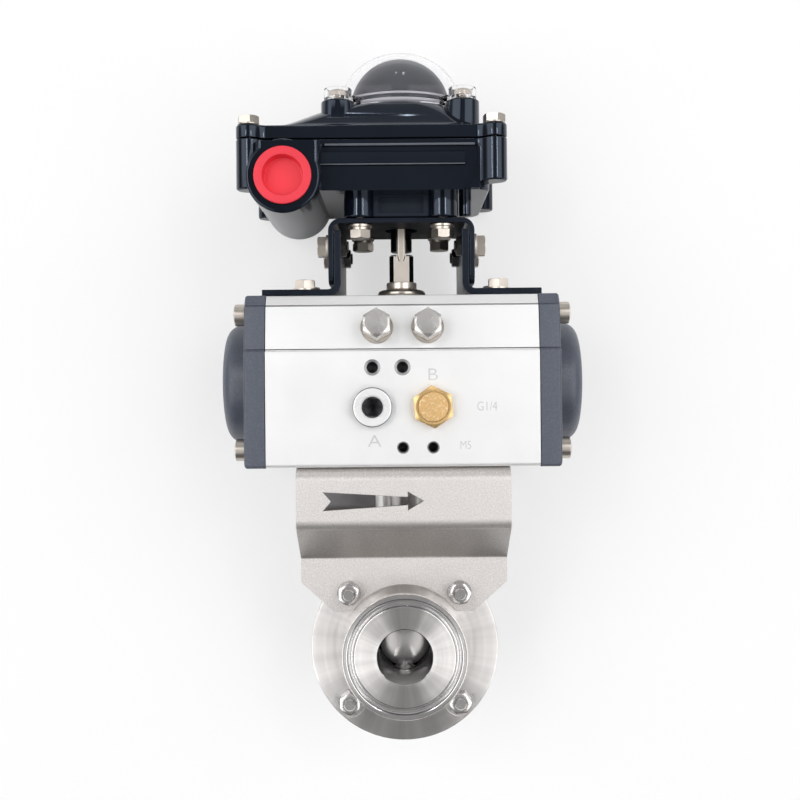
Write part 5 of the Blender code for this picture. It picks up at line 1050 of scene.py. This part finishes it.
def box_outline(grow=0, lugs=(1, 1)):
    """Box with round lugs at its corners, left and right, run into the walls by hollow fillets."""
    half_x, half_y, lug_r, fillet = HALF_X + grow, HALF_Y + grow, LUG_R + grow, LUG_R - grow
    lug, reach = (LUG_X, LUG_Y), lug_r + fillet
    side_x, front_y = half_x + fillet, half_y + fillet
    side = (side_x, LUG_Y - sqrt(reach**2 - (side_x - LUG_X) ** 2))
    front = (LUG_X - sqrt(reach**2 - (front_y - LUG_Y) ** 2), front_y)
    side_sweep = (bearing(side, lug) - pi + pi) % TAU - pi
    front_sweep = (-QUARTER - bearing(front, lug) + pi) % TAU - pi
    lug_sweep = (bearing(lug, front) - bearing(lug, side)) % TAU
    points = []
    for quarter, (sign_x, sign_y) in enumerate(((1, 1), (-1, 1), (-1, -1), (1, -1))):
        if lugs[0 if sign_x < 0 else 1]:
            corner = swept(side, fillet, pi, side_sweep, 8)
            corner += swept(lug, lug_r, bearing(lug, side), lug_sweep, 9)
            corner += swept(front, fillet, bearing(front, lug), front_sweep, 8)
        else:
            corner = arc(half_x - CORNER_R, half_y - CORNER_R, CORNER_R, 0, 90, 25)
        if quarter in (1, 3):
            corner.reverse()
        points += [(BOX_X + sign_x * x, sign_y * y) for x, y in corner]
    return points


def left_lugged(grow=0):
    return box_outline(grow, (1, 0))


def pedestal_outline(grow=0):
    return rounded_rectangle(22.5 + grow, 22 + grow, 6 + grow)


def recess_outline(grow):
    low, high, out = 180 - grow, 203.4 + grow, 30.9 + grow
    corners = [(-31.6 - grow, low), (out, low), (out, high), (-31.6 - grow, high)]
    return rounded_outline(corners, 1.5 + grow)


def conduit_outline(grow):
    """Half round below, upright walls up to the cover."""
    radius, left = 14.6 + grow, -57 - grow
    walls = [(CONDUIT_X - radius, 191.5), (left, 193.5), (left, 204.4), (CONDUIT_X + radius, 204.4)]
    return arc(CONDUIT_X, CONDUIT_Z, radius, 0, -180, 25) + walls


def round_edged(outline_of, low, high, below, above=None):
    """Upright walls with their lower edge rounded, and the upper one too if above is given."""
    angles = quarter_turn(4)
    levels = [(below * (sin(a) - 1), low + below * (1 - cos(a))) for a in angles]
    if above:
        levels += [(above * (cos(a) - 1), high - above * (1 - sin(a))) for a in angles]
    else:
        levels.append((0, high))
    return loft([(outline_of(grow), z) for grow, z in levels])


def round_boss(radius, at, low, high, edge=0.8, steps=64, bottom=True, top=True):
    """Round post with rounded edges below and above."""
    lower = arc(radius - edge, low + edge, edge, -90, 0, 5) if bottom else [(radius, low)]
    upper = arc(radius - edge, high - edge, edge, 0, 90, 5) if top else [(radius, high)]
    return moved(lathe([(0, low)] + lower + upper + [(0, high)], steps), (at[0], at[1], 0))


def mouth(outline_of, deep, face, radius, flare):
    """Levels from deep within to the face, whose edge is rounded outwards or inwards by flare."""
    levels = [(outline_of(0), deep)]
    for angle in quarter_turn(5):
        grow = flare * radius * (1 - cos(angle))
        levels.append((outline_of(grow), face - radius + radius * sin(angle)))
    return levels


# Switch box base
RECESS_Y, RECESS_EDGE = 34.5, 1.1
base = solid("box_base", round_edged(left_lugged, 186, 205.9, 1, 0.3))
unite(base, round_edged(box_outline, 189, 205.9, 0.8, 0.3))
recess = mouth(recess_outline, RECESS_Y, HALF_Y, RECESS_EDGE, 1)
recess.append((recess_outline(RECESS_EDGE), HALF_Y + 5))
carve(base, moved(loft(recess), TO_FRONT))
rib = [(-33, 195.6), (-36.5, 195.9), (-34.8, 201.4), (-33, 201.6)]
rib = prism(rounded_outline(rib, [0.1, 0.75, 0.7, 0.1], 6), -31.9, 25.5)
unite(base, moved(rib, SECTION_TO_X))
unite(base, moved(loft(mouth(conduit_outline, 30, 42, 2.4, -1)), TO_FRONT))
unite(base, round_boss(2.6, (26.6, -15), 178.4, 187, 0.8, 32, top=False))
wedge = [(25.2, 186.2), (31.2, 186.2), (31.2, 191.5)]
unite(base, moved(prism(wedge, 33, 36.3), TO_FRONT))
unite(base, round_edged(pedestal_outline, 177, 187.5, 0.8))
for at in BOX_BOLTS:
    unite(base, round_boss(6.45, at, 177, 187, top=False))
carve(base, block((-9.2, -30, 178.9), (9.2, -19.6, 185.6)))
shell = [(0, -34)] + arc(11.6, -31, 3, -90, 0, 7) + arc(13.6, 41, 1, 0, 90) + [(0, 42)]
unite(base, moved(lathe(shell), TO_FRONT, (CONDUIT_X, 0, CONDUIT_Z)))
carve(base, prism(rounded_rectangle(44, 31.5, 5, BOX_X), 189, 207))
bore = [(0, 20), (9.8, 20), (9.8, 41.4), (10.4, 42), (10.4, 43), (0, 43)]
carve(base, moved(lathe(bore, 72), TO_FRONT, (CONDUIT_X, 0, CONDUIT_Z)))
carve(base, *(tube(SHEET_HOLE_R, 170, 184.5, 32, at) for at in BOX_BOLTS))
carve(base, tube(4.9, 170, 200, 48))
soften(base, 0.8, 3, 40)


def base_look(middle, normal):
    """Rounded edges of the rib and the lip pale with painted highlight, pedestal front a little
    paler with painted sheen.
    """
    x, y, z = middle
    rib_edge = -31.7 < x < 25.4 and -36.5 < y < -34.9 and 195.4 < z < 201.7
    lip = -28 < x < 28 and -36.45 < y < -35.3 and 203.3 < z < 204.6
    pedestal_front = abs(x) < 12 and -23 < y < -18 and 178 < z < 187
    if (rib_edge or lip) and 0.42 < abs(normal.z) < 0.93:
        return "edge"
    # Pedestal front gets the painted sheen
    if pedestal_front and normal.y < -0.9:
        return "painted_sheen_front"


dress(base, "box_paint", ["switch_base"], 35)
repaint(base, ["edge", "painted_sheen_front"], base_look)

# Red plug in the conduit opening
red = turned(
    "red_plug",
    [(0, -3.4), (7.1, -3.4), (7.5, -3.3), (7.7, -2.9), (7.9, 1.2)]
    + arc(8.3, 1.2, 0.4, 180, 90, 4)
    + arc(10.9, 1.2, 0.4, 90, 0, 4)
    + [(11.3, 0.3), (9.5, 0.3), (9.5, -12), (0, -12)],
    96,
    TO_FRONT,
    (CONDUIT_X, -42, CONDUIT_Z),
)
dress(red, "red_plastic", ["conduit_plug"], 40)

# Switch box cover: rim, hood that rises to a round top, bosses for the dome
RIM_TOP, HOOD_TOP = 211.8, 223.4
TOP_R = 27


def hood_section(share_up, wall, count=40):
    """From the box's outline at the rim to a circle at the top."""
    starts = BOX_X + HALF_X - wall, HALF_X - BOX_X - wall, HALF_Y - wall, CORNER_R - wall / 2
    top = (TOP_R - wall) * share_up
    right, left, deep, corner = (start * (1 - share_up) + top for start in starts)
    return rounded_rectangle((right + left) / 2, deep, corner, (right - left) / 2, count)


def hood(wall, low, drop, rings=28):
    sections = [(hood_section(0, wall), low)]
    for index in range(rings + 1):
        up = index / rings
        rise = up * up * (3 - 2 * up)
        sections.append((hood_section(up, wall), RIM_TOP - drop + (HOOD_TOP - RIM_TOP) * rise))
    return loft(sections)


DOME_SCREWS = [(x, y) for x in (-25.2, 25.2) for y in (-25.2, 25.2)]
cover = solid("box_cover", round_edged(box_outline, 206.4, RIM_TOP, 0.3, 0.9))
unite(cover, hood(0.6, 208, 0.25))
for at in DOME_SCREWS:
    unite(cover, round_boss(6.8, at, 210.5, HOOD_TOP, 0.7, bottom=False))
carve(cover, hood(3, 205, 3, 10))
carve(cover, tube(4.9, 200, 230, 48))
soften(cover, 0.5, 3, 40, flats=False)
dress(cover, "box_paint", ["switch_cover"], 40, even=False)
cover_screw = [washer(2.2, 4.3, 0, 0.6), hexagon(7.8, 0.6, 3.6), tube(2, -14, 1, 24)]
places = [(BOX_X + x, y, 211.9) for x in (-LUG_X, LUG_X) for y in (-LUG_Y, LUG_Y)]
rows = [(quarter_name(*at[:2]), at) for at in places]
cover_screw = moved(together(cover_screw), turn(14, "Z"))
repeated(cover_screw, "screw_steel", "lid_screw_", "cover_screw_", rows)


# Clear dome with its lugs and screws
def crown(radius, low, top, steps=24):
    """Profile of a quarter ellipse that ends on the axis."""
    points = [(radius * cos(a), low + (top - low) * sin(a)) for a in quarter_turn(steps)]
    return points[:-1] + [(0, top)]


def dome_look(middle, normal):
    """Beads of the rim whitish: painted highlight."""
    bead = 26.45 < hypot(middle.x, middle.y) < 27.2 and middle.z < 227.9
    if bead and (middle.z < 225.3 or middle.z > 226.6):
        return "painted_highlight_bead"


dome = turned(
    "clear_dome",
    crown(24.1, 228, 248.3)[::-1]
    + [(24.1, 223.7)]
    + arc(26.3, 224.5, 0.8, -90, 60, 7)
    + [(26.5, 225.6)]
    + arc(26.3, 227, 0.7, -50, 80, 7)
    + crown(25.5, 228, 249.7),
    128,
)
for angle in (45, 135, 225, 315):
    unite(dome, moved(block((24.2, -4, 223.7), (34, 4, 226.2)), turn(angle, "Z")))
for at in DOME_SCREWS:
    unite(dome, round_boss(5.6, at, 223.7, 228.7, 0.4, 48))
carve(dome, *(tube(2, 222, 230, 24, at) for at in DOME_SCREWS))
carve(dome, *(tube(4.5, 225.2, 230, 40, at) for at in DOME_SCREWS))
dress(dome, "clear_dome", ["dome_cover"], 35, even=False)
repaint(dome, ["painted_highlight_bead"], dome_look)
pan = turned(
    "pan_screw",
    [(0, -3.4), (1.5, -3.4), (1.5, 0.1), (3.8, 0.1), (3.95, 0.3), (3.95, 1.5)]
    + arc(2.6, 1.5, 1.35, 0, 90, 6)
    + [(0, 2.85)],
    48,
)
carve(pan, hexagon_socket(2.5, 2.85, 1.5))
rows = [(str(i + 1), (x, y, 225.2), (0, 0, 0.4 * i)) for i, (x, y) in enumerate(DOME_SCREWS)]
repeated(as_mesh(pan), "screw_steel", "dome_screw_", None, rows)

# Indicator, and the switch shaft with its tongue in the pinion's slot
cup = crown(18.9, 227.2, 245.6)[::-1] + [(18.9, 225), (20.6, 225), (20.9, 225.3)]
cup = turned("indicator_cup", cup + crown(20.9, 227.2, 247.6))
dress(cup, "indicator_plastic", ["indicator"], 35, body="rotor", even=False)
shaft = [(0, 165.6), (4.2, 165.6), (4.5, 165.9), (4.5, 237.7), (4.2, 238), (0, 238)]
shaft = turned("cam_shaft", shaft, 64)
carve(shaft, block((-1.75, -6, 160), (1.75, 6, 176)))
dress(shaft, "burnished_and_painted_shade", ["switch_shaft"], body="rotor")
levels = [(0.9, 3.6, 0.5, 161.6), (1.65, 4, 0.6, 164)]
levels += [(1.65, 4.6, 0.6, z) for z in (166.5, 175.8)]
tongue = loft([(rounded_rectangle(x, y, r, per_corner=5), z) for x, y, r, z in levels])
dress(solid("shaft_tongue", tongue), "milled", (), 40, body="rotor")

# Stage: the white table that the valve lies on
WALL_GLOW = 0.60
WALL_Y = cad_box[1][1] + 0.001
WALL_HALF = 1.2


def backdrop():
    """White and partly glowing from its upper side, clear from behind."""
    graph = Graph(bpy.data.materials.new("white_backdrop"))
    graph.put(graph.shader, Base_Color=(0.98, 0.98, 0.98), Roughness=0.9, Specular_IOR_Level=0.1)
    glow = graph.node("Emission", Color=(0.99, 0.99, 0.995))
    share = graph.calculate("MULTIPLY", graph.looked_at(), WALL_GLOW)
    lit = graph.node("MixShader", share, graph.shader, glow)
    behind = graph.node("NewGeometry").outputs["Backfacing"]
    both = graph.node("MixShader", behind, lit, graph.node("BsdfTransparent"))
    graph.put(graph.tree.nodes["Material Output"], Surface=both)
    return graph.owner


wall_mesh = bpy.data.meshes.new("backdrop")
corners = [(-1, -1), (1, -1), (1, 1), (-1, 1)]
corners = [(x * WALL_HALF, WALL_Y, z * WALL_HALF) for x, z in corners]
wall_mesh.from_pydata(corners, [], [(0, 1, 2, 3)])
wall_mesh.materials.append(backdrop())
placed("backdrop", wall_mesh)

# Studio: wide softboxes left and right of the camera, a pale ceiling and a dim floor and middle
AMBIENT = 0.17
world = bpy.data.worlds.new("studio")
bpy.context.scene.world = world
studio = Graph(world, "Background")
parts = studio.node("SeparateXYZ", studio.coordinates("Generated")).outputs
height = parts["Z"]
wide = studio.calculate("ABSOLUTE", parts["X"])
tall = studio.calculate("ABSOLUTE", height)
SOFTBOXES = [  # strength, and where each part of the direction fades in
    (1.95, (wide, 0.20, 0.30), (wide, 0.93, 0.80), (tall, 0.58, 0.44)),
    (0.26, (height, 0.60, 0.80)),
    (0.12, (wide, 0.09, 0.03), (tall, 0.75, 0.5)),
    (-0.08, (height, -0.30, -0.50)),
]
level = AMBIENT
for strength, *fades in SOFTBOXES:
    box = strength
    for part, start, end in fades:
        fade = studio.span(part, 0, 1, start, end, "SMOOTHSTEP")
        box = studio.calculate("MULTIPLY", box, fade)
    level = studio.calculate("ADD", level, box)
mixed = studio.node("Mix", data_type="FLOAT")
for index, value in ((0, studio.looked_at()), (2, level), (3, 1)):
    studio.feed(mixed.inputs[index], value)
studio.put(studio.shader, Color=(1, 1, 1), Strength=mixed)

# Small panels, two overhead and two beside the camera, draw the bright lines and dots on edges
PANEL_AIM = Vector((0, 0, 0.12))
PANELS = [  # place in metres, width, height, watts
    ((0.085, -0.46, 1.10), 0.05, 0.05, 0.20),
    ((0.26, -0.62, 0.31), 0.03, 0.12, 0.22),
]
for (out, back, up), width, tall_side, watts in PANELS:
    for side in (-1, 1):
        panel = bpy.data.lights.new("panel", "AREA")
        panel.shape = "RECTANGLE"
        panel.size, panel.size_y = width, tall_side
        panel.energy = watts
        lamp = placed("panel", panel)
        lamp.location = (side * out, back, up)
        lamp.rotation_euler = (PANEL_AIM - lamp.location).to_track_quat("-Z", "Y").to_euler()

# Camera as in the photograph
camera_data = bpy.data.cameras.new("camera")
camera_data.sensor_width = 36
camera_data.lens = 50.5
camera = placed("camera", camera_data)
camera.location = Vector((-1.1, -480, 102.6)) * MM
camera.rotation_euler = (QUARTER, radians(0.5), 0)
bpy.context.scene.camera = camera
bpy.context.scene.view_settings.view_transform = "Standard"
